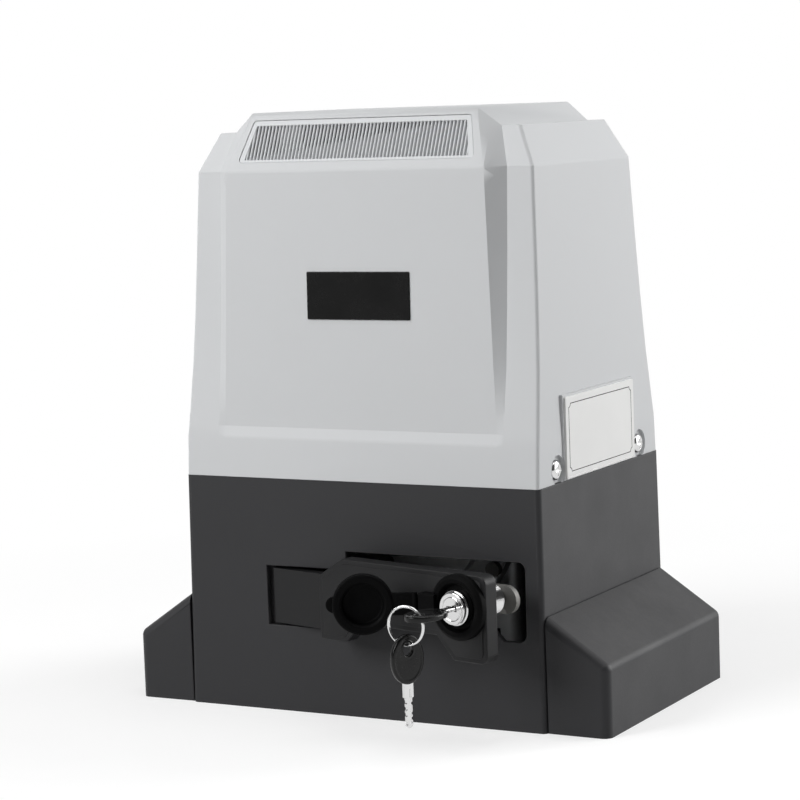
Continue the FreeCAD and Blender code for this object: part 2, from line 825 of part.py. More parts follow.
def hood_section(halves, height, corner):
    """The outline of the hood at a height, with its four upright corners rounded."""
    px, py, bx, by, fx = halves
    diagonal = corner * (1 - math.sqrt(0.5))
    edges = []
    for a, b in ((1, 1), (-1, -1)):
        side = [(a * px, -b * (py - corner)), (a * px, b * (py - corner))]
        front = [(a * (px - corner), b * py), (a * fx, b * py), (a * bx, b * by),
                 (-a * bx, b * by), (-a * fx, b * py), (-a * (px - corner), b * py)]
        turns = [(a * (px - diagonal), b * (py - diagonal)), (-a * (px - diagonal), b * (py - diagonal))]
        edges.append(Part.makeLine(V(*side[0], height), V(*side[1], height)))
        edges.append(Part.Arc(V(*side[1], height), V(*turns[0], height), V(*front[0], height)).toShape())
        for start, end in zip(front, front[1:]):
            edges.append(Part.makeLine(V(*start, height), V(*end, height)))
        last = (-a * px, b * (py - corner))
        edges.append(Part.Arc(V(*front[-1], height), V(*turns[1], height), V(*last, height)).toShape())
    return Part.Wire(edges)


def crown_solid(low, base, high, top):
    """The raised crown between the pillar tops and the roof, with its four hip facets."""
    _, py, bx, by, fx = base
    tx, ty = top
    ring = [(fx, -py), (fx, py), (bx, by), (-bx, by), (-fx, py), (-fx, -py), (-bx, -by), (bx, -by)]
    ring = [V(x, y, low) for x, y in ring]
    roof = [V(tx, -ty, high), V(tx, ty, high), V(-tx, ty, high), V(-tx, -ty, high)]
    loops = [ring[::-1], roof, [ring[0], ring[1], roof[1], roof[0]], [ring[1], ring[2], roof[1]],
             [ring[2], ring[3], roof[2], roof[1]], [ring[3], ring[4], roof[2]],
             [ring[4], ring[5], roof[3], roof[2]], [ring[5], ring[6], roof[3]],
             [ring[6], ring[7], roof[0], roof[3]], [ring[7], ring[0], roof[0]]]
    faces = [Part.Face(Part.makePolygon(loop + [loop[0]])) for loop in loops]
    return Part.makeSolid(Part.makeShell(faces))


def hood_form(inset, low):
    """The whole hood as one solid, or its cavity when inset by the wall."""
    corner = max(D.hood_corner.value - inset / 2, D.least_corner.value)
    shoulder, pillar = D.shoulder_height.value, PILLAR_HEIGHT.value
    ledge, face = D.ledge_height.value, FACE_HEIGHT.value
    shares = [1 - (1 - i / FLARE_STEPS) ** FLARE_SPREAD for i in range(1, FLARE_STEPS + 1)]
    heights = [low, ledge, face] + [face + (shoulder - face) * share for share in shares] + [pillar]
    levels = [height if height < shoulder else height - inset for height in heights]
    if inset:
        levels[0] = low - D.tool_past.value
    sections = [hood_section(hood_halves(max(height, ledge if i == 1 else low), inset), level, corner)
                for i, (height, level) in enumerate(zip(heights, levels))]
    walls = Part.makeLoft(sections, True, True)
    top = (D.crown_half_x.value - inset * D.crown_inset.value, D.crown_half_y.value - inset)
    crown = crown_solid(pillar - inset, hood_halves(pillar, inset), CROWN_HEIGHT.value - inset, top)
    if crown.Volume < 0:
        crown.reverse()
    return walls.fuse(crown).removeSplitter()


def slant_angle():
    return arctangent(D.crown_rise, D.band_high_y - D.crown_half_y)


def on_slant(item, rear):
    """Stands an object drawn on the vent's own plane up on the front or rear slant."""
    if rear:
        half_turn = FreeCAD.Rotation(V(0, 0, 1), 180)
        tilt = FreeCAD.Rotation(V(1, 0, 0), slant_angle().value)
        item.Placement = FreeCAD.Placement(V(0, 0, 0), half_turn.multiply(tilt))
        return place(item, 0, D.band_high_y, D.shoulder_height)
    turn(item, (1, 0, 0), slant_angle())
    return place(item, 0, -D.band_high_y, D.shoulder_height)


def vent_cut(rear):
    """The recess of a vent grille and the opening behind it."""
    tag = "rear" if rear else "front"
    recess = wedge(f"vent_recess_{tag}", D.vent_low, D.vent_high, (D.vent_half_low, D.vent_half_high),
                   D.vent_recess * 3, -D.vent_recess)
    recess = rounded(f"vent_recess_round_{tag}", recess, D.vent_round, along(0, 0, 1))
    fit = D.seat_gap
    opening = wedge(f"vent_opening_{tag}", D.slat_low - fit, D.slat_high + fit,
                    (D.slat_half_low + fit, D.slat_half_high + fit), D.hood_wall, -D.hood_wall * 4)
    return on_slant(fuse(f"vent_cut_{tag}", recess, opening), rear)


def vent_grille(rear):
    """A grille plate seated in its recess, with upright slats over its whole width."""
    d = {name: getattr(D, name).value for name in SIZES}
    floor = -d["vent_recess"]
    fit = d["seat_gap"] / 2

    def trapezoid(low, high, half_low, half_high, base, depth):
        corners = [V(-half_low, low, base), V(half_low, low, base), V(half_high, high, base),
                   V(-half_high, high, base)]
        return Part.Face(Part.makePolygon(corners + [corners[0]])).extrude(V(0, 0, depth))

    flange = trapezoid(d["vent_low"] + fit, d["vent_high"] - fit, d["vent_half_low"] - fit,
                       d["vent_half_high"] - fit, floor, d["vent_flange"])
    corners = [edge for edge in flange.Edges if along(0, 0, 1)(edge)]
    flange = flange.makeFillet(d["vent_round"] - fit, corners)
    inner = (d["slat_low"], d["slat_high"], d["slat_half_low"], d["slat_half_high"])
    deep = trapezoid(*inner, floor - d["slat_depth"], d["slat_depth"])
    rim, past = d["slat_width"], d["tool_past"]
    void = trapezoid(inner[0] + rim, inner[1] - rim, inner[2] - rim, inner[3] - rim,
                     floor - d["slat_depth"] - past, d["slat_depth"] + d["vent_flange"] + past * 2)
    frame = flange.fuse(deep).cut(void)
    count = int((inner[2] - rim) / d["slat_pitch"])
    slats = []
    for step in range(-count, count + 1):
        start = V(step * d["slat_pitch"] - d["slat_width"] / 2, inner[0] + rim / 2, floor - d["slat_depth"])
        slats.append(Part.makeBox(d["slat_width"], inner[1] - inner[0] - rim,
                                  d["slat_depth"] + d["vent_flange"] * d["slat_rise"], start))
    bound = trapezoid(inner[0], inner[1], inner[2] - rim / 2, inner[3] - rim / 2,
                      floor - d["slat_depth"], d["slat_depth"] + d["vent_flange"])
    slats = [slat if abs(slat.CenterOfMass.x) < inner[3] - rim * 2 else slat.common(bound) for slat in slats]
    name = "rear_vent_grille" if rear else "front_vent_grille"
    return node(name, on_slant(form(name + "_form", frame.fuse(slats).removeSplitter()), rear))


def hood():
    """The silver hood: a thin faceted shell with vents, screw seats and plate pad."""
    wall = D.hood_wall.value
    low = D.seam_height.value
    shell = form("hood_shell", hood_form(0, low).cut(hood_form(wall, low)))
    tools = [vent_cut(False), vent_cut(True)]
    pad_edge = D.plate_thick
    parts = [shell, block("plate_pad", (D.skirt_half_x - D.hood_wall / 2, D.pad_x),
                          (D.plate_y0 - pad_edge, D.plate_y1 + pad_edge),
                          (D.plate_z0 - D.pad_drop, D.plate_z1 + pad_edge))]
    boss_in, boss_out = tab_reach()[1], D.skirt_half_x - D.hood_wall / 2
    for side in (-1, 1):
        for end in (-1, 1):
            tag = f"{'l' if side < 0 else 'r'}{'f' if end < 0 else 'b'}"
            y = end * D.screw_y
            span = (boss_in, boss_out) if side > 0 else (-boss_out, -boss_in)
            parts.append(block(f"screw_boss_{tag}", span, (y - D.screw_recess, y + D.screw_recess),
                               (D.seam_height + D.lip_height + D.seat_gap, D.screw_z + D.screw_recess)))
            heading = "+x" if side > 0 else "-x"
            seat = (side * D.screw_seat_x, y, D.screw_z)
            way = (side * (boss_in - D.tool_past), y, D.screw_z)
            tools.append(rod(f"screw_recess_{tag}", D.screw_recess, D.screw_recess, seat, heading))
            tools.append(rod(f"screw_way_{tag}", D.screw_shank + D.seat_gap, D.screw_recess * 2,
                             way, heading))
    limit_low = D.gearbox_top - D.limit_margin
    tools.append(block("limit_way", (D.limit_x - D.limit_half_x - D.limit_margin,
                                     D.limit_x + D.limit_half_x + D.limit_margin),
                       (D.shoulder_half_y, D.skirt_half_y + D.hood_wall),
                       (limit_low, D.gearbox_top + D.limit_height + D.limit_margin)))
    return node("hood", cut("hood_finished", fuse("hood_joined", *parts), *tools))


def hood_screws():
    """Four pan-head screws that hold the hood to the tabs of the housing."""
    number = 0
    for side in (-1, 1):
        for end in (-1, 1):
            number += 1
            heading, back = ("+x", "-x") if side > 0 else ("-x", "+x")
            at = (side * D.screw_seat_x, end * D.screw_y, D.screw_z)
            head = rod(f"screw_head_{number}", D.screw_head, D.screw_head_thick, at, heading)
            top = (side * (D.screw_seat_x + D.screw_head_thick)).value
            radius = D.screw_head.value
            head = rounded(f"screw_pan_{number}", head, D.screw_head_thick * D.screw_pan,
                           lambda edge: len(edge.Vertexes) == 1 and abs(edge.CenterOfMass.x - top) < NEAR
                           and abs(edge.Curve.Radius - radius) < NEAR)
            shank = rod(f"screw_shank_{number}", D.screw_shank, D.screw_seat_x - D.screw_end_x, at, back)
            cross_in = D.screw_seat_x + D.screw_head_thick * D.cross_depth
            cross_out = D.screw_seat_x + D.screw_head
            cross_x = (cross_in, cross_out) if side > 0 else (-cross_out, -cross_in)
            cross = [block(f"screw_cross_{number}{tag}", cross_x,
                           (at[1] - long, at[1] + long), (at[2] - short, at[2] + short))
                     for tag, long, short in (("a", D.screw_head / 2, D.screw_head / 9),
                                              ("b", D.screw_head / 9, D.screw_head / 2))]
            body = fuse(f"screw_body_{number}", head, shank)
            node(f"hood_screw_{number}", cut(f"screw_finished_{number}", body, *cross))


def plates():
    """The bare badge on the front band and the bare rating plate on its side pad."""
    badge = block("badge_plate", (-D.badge_width / 2, D.badge_width / 2),
                  (-D.badge_height / 2, D.badge_height / 2), (0, D.badge_thick))
    share = (D.badge_z - FACE_HEIGHT) / (D.shoulder_height - FACE_HEIGHT)
    face_y = D.band_low_y + (D.band_high_y - D.band_low_y) * share
    lean = arctangent(D.shoulder_height - FACE_HEIGHT, D.band_low_y - D.band_high_y)
    badge.Placement = FreeCAD.Placement(V(0, 0, 0), FreeCAD.Rotation(V(1, 0, 0), lean.value))
    badge.setExpression("Placement.Rotation.Angle", lean.formula)
    half = D.badge_height / 2
    place(badge, D.badge_x - D.badge_width / 2, -(face_y + half * cosine(lean)),
          D.badge_z - half * sine(lean))
    node("badge", badge)
    plate = block("rating_plate_blank", (D.pad_x, D.pad_x + D.plate_thick),
                  (D.plate_y0, D.plate_y1), (D.plate_z0, D.plate_z1))
    node("rating_plate", rounded("rating_plate_round", plate, D.plate_thick, along(1, 0, 0)))


def on_lever(item, u=0, y=0, z=0):
    """Stands an object drawn beside the closed lever on the lever as it hangs open."""
    c, s = cosine(D.lever_open), sine(D.lever_open)
    u, y = as_size(u), as_size(y)
    turn(item, (0, 0, 1), -D.lever_open)
    return place(item, D.pivot_x + u * c + y * s, D.pivot_y + y * c - u * s, z)


def release_lever():
    """The moulded release lever: barrel and neck at the pivot, then the dog-bone tray."""
    step = D.lever_mid_low - D.lobe_left_low
    outline = [(D.lever_left, D.lobe_left_low), (D.lobe_left_end, D.lobe_left_low),
               (D.lobe_left_end + step, D.lever_mid_low), (LOBE_RIGHT_TOP, D.lever_mid_low),
               (LOBE_RIGHT_START, D.lobe_right_low), (LEVER_RIGHT, D.lobe_right_low),
               (LEVER_RIGHT, D.lever_top), (D.lever_top_left, D.lever_top),
               (D.lever_left, D.lever_left_top)]
    back = D.plate_front - D.tray_depth
    plate = prism("lever_plate", "XZ_Plane", outline, back, D.tray_depth)
    right, left = LEVER_RIGHT.value, D.lever_left.value
    plate = softened(plate, D.lever_round, lambda edge: along(0, 1, 0)(edge)
                     and abs(edge.Vertexes[0].Point.x - right) < NEAR)
    front = -D.plate_front.value
    plate = softened(plate, D.tray_wall / 3, lambda edge: all(abs(vertex.Point.y - front) < NEAR
                                                              for vertex in edge.Vertexes), "rim")
    wall = D.tray_wall
    inset = wall * D.tray_corner
    hollow = [(D.lever_left + wall, D.lobe_left_low + wall),
              (D.lobe_left_end - inset, D.lobe_left_low + wall),
              (D.lobe_left_end + step - inset, D.lever_mid_low + wall),
              (LOBE_RIGHT_TOP + inset, D.lever_mid_low + wall),
              (LOBE_RIGHT_START + inset, D.lobe_right_low + wall),
              (LEVER_RIGHT - wall, D.lobe_right_low + wall), (LEVER_RIGHT - wall, D.lever_top - wall),
              (D.lever_top_left + inset, D.lever_top - wall),
              (D.lever_left + wall, D.lever_left_top - inset)]
    tray = prism("lever_hollow", "XZ_Plane", hollow, back - D.tool_past, D.tray_depth - wall + D.tool_past)
    barrel = rod("lever_barrel", D.barrel_radius, D.neck_high - D.neck_low, (0, 0, D.neck_low))
    neck_back = D.neck_thick - D.neck_front
    neck = block("lever_neck", (D.lug_gap - D.barrel_radius, D.lever_left + wall),
                 (-D.neck_front, neck_back), (D.neck_low, D.neck_high))
    neck = rounded("lever_neck_round", neck, D.neck_round, lambda edge: along(0, 0, 1)(edge)
                   and edge.Vertexes[0].Point.x < 0)
    knee = block("lever_knee", (D.lever_left, D.lever_left + wall * 2), (-back - wall, neck_back),
                 (D.neck_low, D.neck_high))
    gusset = block("lever_gusset", (D.lever_left - D.tray_depth, D.lever_left + wall),
                   (-back, neck_back), (D.neck_low + D.gusset_edge, D.neck_high - D.gusset_edge))
    shell = cut("lever_shell", plate, tray)
    lever = fuse("lever_joined", shell, barrel, neck, knee, gusset)
    holes = [rod("lever_pin_way", D.pin_radius + D.pin_fit, D.seam_height, (0, 0, 0)),
             rod("lever_lock_way", D.lock_radius, D.tray_depth * 2,
                 (D.lock_u, -(back - D.tool_past), D.lock_z), "-y")]
    return node("release_lever", on_lever(cut("lever_finished", lever, *holes)))


def release_pin():
    """The pivot pin in the two lugs of the housing."""
    low, high = D.neck_low - D.floor_thick + D.lug_edge, D.neck_high + D.floor_thick
    pin = rod("pin_stem", D.pin_radius, high + D.pin_head_thick - low, (D.pivot_x, D.pivot_y, low))
    head = rod("pin_head", D.pin_radius + D.pin_head_edge, D.pin_head_thick, (D.pivot_x, D.pivot_y, high))
    return node("release_pin", fuse("pin_finished", pin, head))


def across(name, radius, low, high):
    """A cylinder on the lock axis between two heights above the lever plate."""
    return rod(name, radius, as_size(high) - low, (D.lock_u, -(D.plate_front + low), D.lock_z), "-y")


def cam_lock():
    """The cam lock: collar, body, nut, plug, cam and cam screw."""
    body = fuse("lock_solid", across("lock_head", D.barrel_head, 0, D.barrel_head_height),
                across("lock_barrel", D.lock_radius, -D.lock_length, 0))
    body = cut("lock_bored", body, across("lock_bore", D.plug_core + D.plug_fit, -D.lock_length - D.tool_past,
                                          D.barrel_head_height + D.tool_past))
    node("lock_body", on_lever(body))

    nut_top = -D.tray_wall
    nut = doc.addObject("Part::Prism", "nut_hex")
    nut.Polygon = 6
    nut.Placement = FreeCAD.Placement(V(0, 0, 0), FreeCAD.Rotation(V(1, 0, 0), 90))
    bind(nut, Circumradius=D.nut_radius, Height=D.nut_thick)
    place(nut, D.lock_u, -(D.plate_front + nut_top - D.nut_thick), D.lock_z)
    nut = cut("nut_finished", nut, across("nut_bore", D.lock_radius, -D.tray_depth * 2, D.tray_depth))
    node("lock_nut", on_lever(nut))

    collar = across("collar_disc", D.collar_radius, 0, D.collar_height)
    outer = D.collar_radius.value
    front = -(D.plate_front + D.collar_height).value
    collar = rounded("collar_round", collar, D.collar_round, lambda edge: len(edge.Vertexes) == 1
                     and abs(edge.CenterOfMass.y - front) < NEAR)
    lug_end = CAP_HINGE_U + D.strap_knuckle + D.seat_gap
    lug_front = D.plate_front + D.cap_hinge_height - D.strap_knuckle + D.strap_thick
    lug = block("collar_lug", (lug_end, D.lock_u - D.collar_inner),
                (-lug_front, -(D.plate_front + D.lug_lift)),
                (D.lock_z - D.strap_width / 2, D.lock_z + D.strap_width / 2))
    collar = cut("collar_finished", fuse("collar_joined", collar, lug),
                 across("collar_recess", D.collar_inner, D.collar_floor, D.collar_height * 2),
                 across("collar_way", D.barrel_head, -D.tool_past, D.collar_height))
    node("lock_collar", on_lever(collar))

    tail = D.lock_length + D.seat_gap
    plug_low, plug_high = D.barrel_head_height + D.seat_gap, D.plug_face
    plug = fuse("plug_solid", across("plug_head", D.plug_radius, plug_low, plug_high),
                across("plug_core_rod", D.plug_core, -tail, plug_high - D.plug_lap))
    slot_half = D.key_collar_width / 2 + D.key_slot_fit
    slot_rise = D.key_blade_thick / 2 + D.key_slot_fit
    slot_deep = D.key_total - D.key_shoulder - D.key_head_length + D.tool_past
    slot = block("plug_slot", (D.lock_u - slot_half, D.lock_u + slot_half),
                 (-(D.plate_front + plug_high + D.tool_past), -(D.plate_front + plug_high - slot_deep)),
                 (D.lock_z - slot_rise, D.lock_z + slot_rise))
    node("lock_plug", on_lever(cut("plug_finished", plug, slot)))

    y_front = -(D.plate_front - tail)
    cam = fuse("cam_solid", rod("cam_hub", D.cam_radius, D.cam_thick, (D.lock_u, y_front, D.lock_z), "+y"),
               rod("cam_nose", D.cam_radius, D.cam_thick,
                   (D.lock_u + D.cam_length - D.cam_radius, y_front, D.lock_z), "+y"),
               block("cam_web", (D.lock_u, D.lock_u + D.cam_length - D.cam_radius),
                     (y_front, y_front + D.cam_thick), (D.lock_z - D.cam_radius, D.lock_z + D.cam_radius)))
    node("lock_cam", on_lever(cam))
    screw = rod("cam_screw_head", D.cam_screw_radius, D.cam_screw_height,
                (D.lock_u, y_front + D.cam_thick, D.lock_z), "+y")
    screw_end = y_front + D.cam_thick + D.cam_screw_height
    slot = block("cam_screw_slot", (D.lock_u - D.plug_core, D.lock_u + D.plug_core),
                 (screw_end - D.screw_slot, screw_end + D.screw_slot),
                 (D.lock_z - D.screw_slot / 2, D.lock_z + D.screw_slot / 2))
    node("cam_screw", on_lever(cut("cam_screw_finished", screw, slot)))


def dust_cap():
    """The cup-shaped cap, swung open about the fold of its strap."""
    centre = D.cap_arm
    seat = D.collar_height - D.cap_hinge_height + D.seat_gap
    cup = rod("cap_disc", D.cap_radius, D.cap_depth, (centre, -seat, 0), "-y")
    outer = -(seat + D.cap_depth).value
    cup = rounded("cap_round_edge", cup, D.cap_round, lambda edge: len(edge.Vertexes) == 1
                  and abs(edge.CenterOfMass.y - outer) < NEAR)
    inner = -seat.value
    cup = rounded("cap_lip", cup, D.cap_lip_round, lambda edge: len(edge.Vertexes) == 1
                  and abs(edge.CenterOfMass.y - inner) < NEAR)
    dish = rod("cap_dish", D.cap_dish_radius, D.cap_dish_depth + D.tool_past,
               (centre, D.tool_past - seat, 0), "-y")
    strap_end = centre - D.cap_dish_radius - D.cap_lip_round
    strap_top = D.strap_thick - D.strap_knuckle
    across_strap = (-D.strap_width / 2, D.strap_width / 2)
    strap = block("cap_strap", (0, strap_end), (-D.strap_knuckle, strap_top), across_strap)
    web = block("cap_web", (centre - D.cap_radius - D.cap_lip_round, strap_end),
                (-seat - D.cap_depth / 2, strap_top), across_strap)
    knuckle = rod("cap_knuckle", D.strap_knuckle, D.strap_width, (0, 0, -D.strap_width / 2))
    tab = rod("cap_tab", D.cap_tab_radius, D.cap_tab_thick,
              (centre + D.cap_radius - D.cap_lip_round, -seat - D.cap_depth / 2, 0), "-y")
    solid = fuse("cap_joined", cup, strap, web, knuckle, tab)
    cap = cut("cap_finished", solid, dish)
    c, s = cosine(D.lever_open), sine(D.lever_open)
    u, y = CAP_HINGE_U, -(D.plate_front + D.cap_hinge_height)
    turn(cap, (0, 0, 1), -(D.lever_open + D.cap_swing))
    place(cap, D.pivot_x + u * c + y * s, D.pivot_y + y * c - u * s, D.lock_z)
    return node("dust_cap", cap)


def key(prefix):
    """A key flat in its own plane, from the end of its head along +Y to the tip."""
    head = doc.addObject("Part::Ellipse", prefix + "_oval")
    head.Placement = FreeCAD.Placement(V(0, 0, 0), FreeCAD.Rotation(V(0, 0, 1), 90))
    bind(head, MajorRadius=D.key_head_length / 2, MinorRadius=D.key_head_width / 2)
    place(head, 0, D.key_head_length / 2, -D.key_head_thick / 2)
    bow = doc.addObject("Part::Extrusion", prefix + "_head")
    bow.Base = head
    bow.Dir = V(0, 0, 1)
    bow.DirMode = "Custom"
    bow.Solid = True
    bow.setExpression("LengthFwd", D.key_head_thick.formula)
    bow = rounded(prefix + "_soft", bow, D.key_head_round, lambda edge: len(edge.Vertexes) == 1)
    reach = D.key_hole_width / 2
    near, far = D.key_hole_near + reach, D.key_hole_far - reach
    depth = D.key_head_thick * 2
    hole = fuse(prefix + "_hole", rod(prefix + "_hole_a", reach, depth, (0, near, -D.key_head_thick)),
                rod(prefix + "_hole_b", reach, depth, (0, far, -D.key_head_thick)),
                block(prefix + "_hole_c", (-reach, reach), (near, far),
                      (-D.key_head_thick, D.key_head_thick)))
    half = D.key_blade_thick / 2
    socket = block(prefix + "_socket", (-D.key_collar_width / 2, D.key_collar_width / 2),
                   (D.key_head_length - D.key_socket, D.key_head_length + D.tool_past), (-half, half))
    bow = cut(prefix + "_bow_finished", bow, hole, socket)
    shoulder_end = D.key_head_length + D.key_shoulder
    shoulder = block(prefix + "_shoulder", (-D.key_collar_width / 2, D.key_collar_width / 2),
                     (D.key_head_length - D.key_socket, shoulder_end), (-half, half))
    blade = block(prefix + "_blade", (-D.key_blade_width / 2, D.key_blade_width / 2),
                  (shoulder_end, D.key_total), (-half, half))
    tip = D.key_total.value
    blade = rounded(prefix + "_tip", blade, D.key_blade_width * D.key_tip_round,
                    lambda edge: along(0, 0, 1)(edge) and abs(edge.Vertexes[0].Point.y - tip) < NEAR)
    shank = fuse(prefix + "_shank", shoulder, blade)
    notch_in, notch_out = D.key_blade_width / 2 - D.notch_depth, D.key_blade_width / 2 + D.tool_past
    notches = []
    for i, side in enumerate((1, -1, 1, 1, -1)):
        low = shoulder_end + D.notch_first + D.notch_pitch * i
        span = (notch_in, notch_out) if side > 0 else (-notch_out, -notch_in)
        notches.append(block(f"{prefix}_notch_{i}", span, (low, low + D.notch_width), (-half * 2, half * 2)))
    groove = block(prefix + "_groove", (-D.groove_half, D.groove_half),
                   (D.key_head_length + D.key_socket_fit, D.key_total - D.groove_end), (half / 3, half * 2))
    return bow, cut(prefix + "_blade_finished", shank, groove, *notches)


def keys():
    """The key in the lock, the ring through its head and the spare key on the ring."""
    bow, blade = key("main")
    end = -(D.plate_front + D.plug_face + D.key_shoulder + D.key_head_length)
    node("inserted_key_bow", on_lever(bow, D.lock_u, end, D.lock_z))
    node("inserted_key_blade", on_lever(blade, D.lock_u, end, D.lock_z))

    ring_x, ring_y, ring_z = ring_place()
    ring = doc.addObject("Part::Torus", "ring_wire")
    ring.Placement = FreeCAD.Placement(V(0, 0, 0), FreeCAD.Rotation(V(1, 0, 0), 90))
    bind(ring, Radius1=D.ring_radius, Radius2=D.ring_wire)
    node("key_ring", place(ring, ring_x, ring_y, ring_z))

    bow, blade = key("spare")
    top = ring_z - D.ring_radius + D.key_hole_near + D.ring_wire + D.spare_gap
    flip = FreeCAD.Rotation(V(1, 0, 0), -90)
    swing = FreeCAD.Rotation(V(0, 0, 1), D.spare_turn.value)
    for label, item in (("spare_key_bow", bow), ("spare_key_blade", blade)):
        item.Placement = FreeCAD.Placement(V(0, 0, 0), swing.multiply(flip))
        node(label, place(item, ring_x, ring_y, top))


def ring_place():
    """The centre of the key ring, which hangs through the slot of the inserted key."""
    c, s = cosine(D.lever_open), sine(D.lever_open)
    u = D.lock_u
    y = -(D.plate_front + D.plug_face + D.key_shoulder + D.key_head_length - D.ring_from_end)
    return (D.pivot_x + u * c + y * s - D.ring_hole_offset, D.pivot_y + y * c - u * s, D.lock_z - D.ring_drop)


def lock_catch():
    """The steel catch behind the right jamb, which the turned cam draws against."""
    reach = D.pivot_x + D.lock_u + D.cam_length + D.seat_gap * 2
    wall_y = -(D.housing_half_y - D.housing_wall)
    cam_y = D.pivot_y + (D.lock_length + D.seat_gap - D.plate_front)
    return node("lock_catch", block("catch_plate", (WINDOW_RIGHT + D.seat_gap, reach - D.housing_wall),
                                    (wall_y, cam_y - D.seat_gap),
                                    (D.lock_z - D.cam_radius - D.catch_reach,
                                     D.lock_z + D.cam_radius + D.catch_reach)))


def gearbox():
    """The cast gearbox: its housing, front cover, cover bolts, bearings and seal."""
    block_item = block("gearbox_block", (D.gearbox_left, D.gearbox_right), (D.gearbox_front, D.gearbox_rear),
                       (D.floor_thick, D.gearbox_top))
    block_item = rounded("gearbox_cast", block_item, D.gearbox_round, along(0, 0, 1))
    centre = (D.wheel_x, D.gearbox_front - D.tool_past, D.drive_z)
    worm_x = D.wheel_x - D.centre_distance
    wheel_back = D.drive_y + D.wheel_width / 2 + D.wheel_side
    tools = [rod("wheel_room", D.wheel_cavity, wheel_back - D.gearbox_front + D.tool_past, centre, "+y"),
             rod("worm_cavity", D.worm_bore, D.worm_bearing_low - D.small_bearing_low,
                 (worm_x, D.drive_y, D.small_bearing_low)),
             rod("low_bearing_seat", D.small_bearing_radius, D.small_bearing_width,
                 (worm_x, D.drive_y, D.small_bearing_low)),
             rod("top_bearing_seat", D.small_bearing_radius, D.gearbox_top,
                 (worm_x, D.drive_y, D.worm_bearing_low)),
             rod("shaft_relief", D.rotor_shaft_radius + D.shaft_clearance, D.small_bearing_width,
                 (worm_x, D.drive_y, D.small_bearing_low - D.small_bearing_width / 2)),
             rod("rear_way", D.shaft_radius + D.rear_clearance, D.gearbox_rear,
                 (D.wheel_x, D.drive_y, D.drive_z), "+y"),
             rod("rear_bearing_seat", D.bearing_radius, D.gearbox_rear,
                 (D.wheel_x, D.rear_bearing_y, D.drive_z), "+y"),
             block("pedestal_gap", (D.gearbox_left + D.pedestal, D.gearbox_right - D.pedestal),
                   (D.gearbox_front - D.tool_past, D.gearbox_rear + D.tool_past),
                   (D.floor_thick - D.tool_past, D.pedestal_top))]
    bolt_places = []
    for index in range(int(D.cover_bolt_count.value)):
        angle = as_size(360 * (index + 0.5) / D.cover_bolt_count.value)
        bolt_places.append((D.wheel_x + D.cover_bolt_circle * cosine(angle),
                            D.drive_z + D.cover_bolt_circle * sine(angle)))
    grip = D.cover_bolt_grip
    for index, (x, z) in enumerate(bolt_places):
        tools.append(rod(f"cover_thread_{index}", D.cover_bolt_radius, grip + D.tool_past * 2,
                         (x, D.gearbox_front - D.tool_past, z), "+y"))
    node("gearbox_housing", cut("gearbox_finished", block_item, *tools))

    cover = fuse("cover_solid", rod("cover_disc", D.cover_radius, D.cover_thick,
                                    (D.wheel_x, D.gearbox_front, D.drive_z), "-y"),
                 rod("cover_boss_disc", D.cover_boss, D.cover_boss_height,
                     (D.wheel_x, D.gearbox_front - D.cover_thick, D.drive_z), "-y"))
    bores = [rod("cover_pocket", D.bearing_radius, D.bearing_width + D.tool_past,
                 (D.wheel_x, D.gearbox_front + D.tool_past, D.drive_z), "-y")]
    bolts = []
    face = D.gearbox_front - D.cover_thick
    for index, (x, z) in enumerate(bolt_places):
        bores.append(rod(f"cover_way_{index}", D.cover_bolt_radius, D.cover_thick * 2,
                         (x, D.gearbox_front + D.tool_past, z), "-y"))
        shank = rod(f"cover_shank_{index}", D.cover_bolt_radius, D.cover_thick + grip, (x, face, z), "+y")
        head = rod(f"cover_head_{index}", D.cover_bolt_head, D.cover_bolt_height, (x, face, z), "-y")
        bolts.append(fuse(f"cover_bolt_{index}", shank, head))
    node("gearbox_cover", cut("cover_finished", cover, *bores))
    node("cover_bolts", fuse("cover_bolt_set", *bolts))

    def bearing(name, label, radius, bore, width, start, direction):
        ring = rod(name + "_ring", radius, width, start, direction)
        way = rod(name + "_bore", bore + D.shaft_fit, width + D.tool_past * 2,
                  shifted(start, direction, -1), direction)
        return node(label, cut(name + "_finished", ring, way))

    bearing("front_ball", "front_bearing", D.bearing_radius, D.shaft_radius, D.bearing_width - D.tool_past,
            (D.wheel_x, D.gearbox_front - D.tool_past, D.drive_z), "-y")
    bearing("rear_ball", "rear_bearing", D.bearing_radius, D.shaft_radius, D.bearing_width,
            (D.wheel_x, D.rear_bearing_y, D.drive_z), "+y")
    bearing("shaft_seal", "oil_seal", D.bearing_radius, D.shaft_radius, D.seal_width,
            (D.wheel_x, D.rear_bearing_y + D.bearing_width, D.drive_z), "+y")
    for name, label, low in (("low_ball", "worm_lower_bearing", D.small_bearing_low),
                             ("mid_ball", "worm_upper_bearing", D.worm_bearing_low),
                             ("top_ball", "rotor_top_bearing", top_bearing_low())):
        bearing(name, label, D.small_bearing_radius, D.rotor_shaft_radius, D.small_bearing_width,
                (worm_x, D.drive_y, low), "+z")


def top_bearing_low():
    """Where the motor's upper bearing starts, under the roof of the upper bell."""
    return UPPER_BELL_TOP - D.small_bearing_width - D.bell_seat_cover


def shifted(start, direction, distance):
    """A start point moved along a named direction."""
    sign = 1 if direction[0] == "+" else -1
    axis = "xyz".index(direction[1])
    return tuple(as_size(value) + sign * distance if i == axis else value for i, value in enumerate(start))


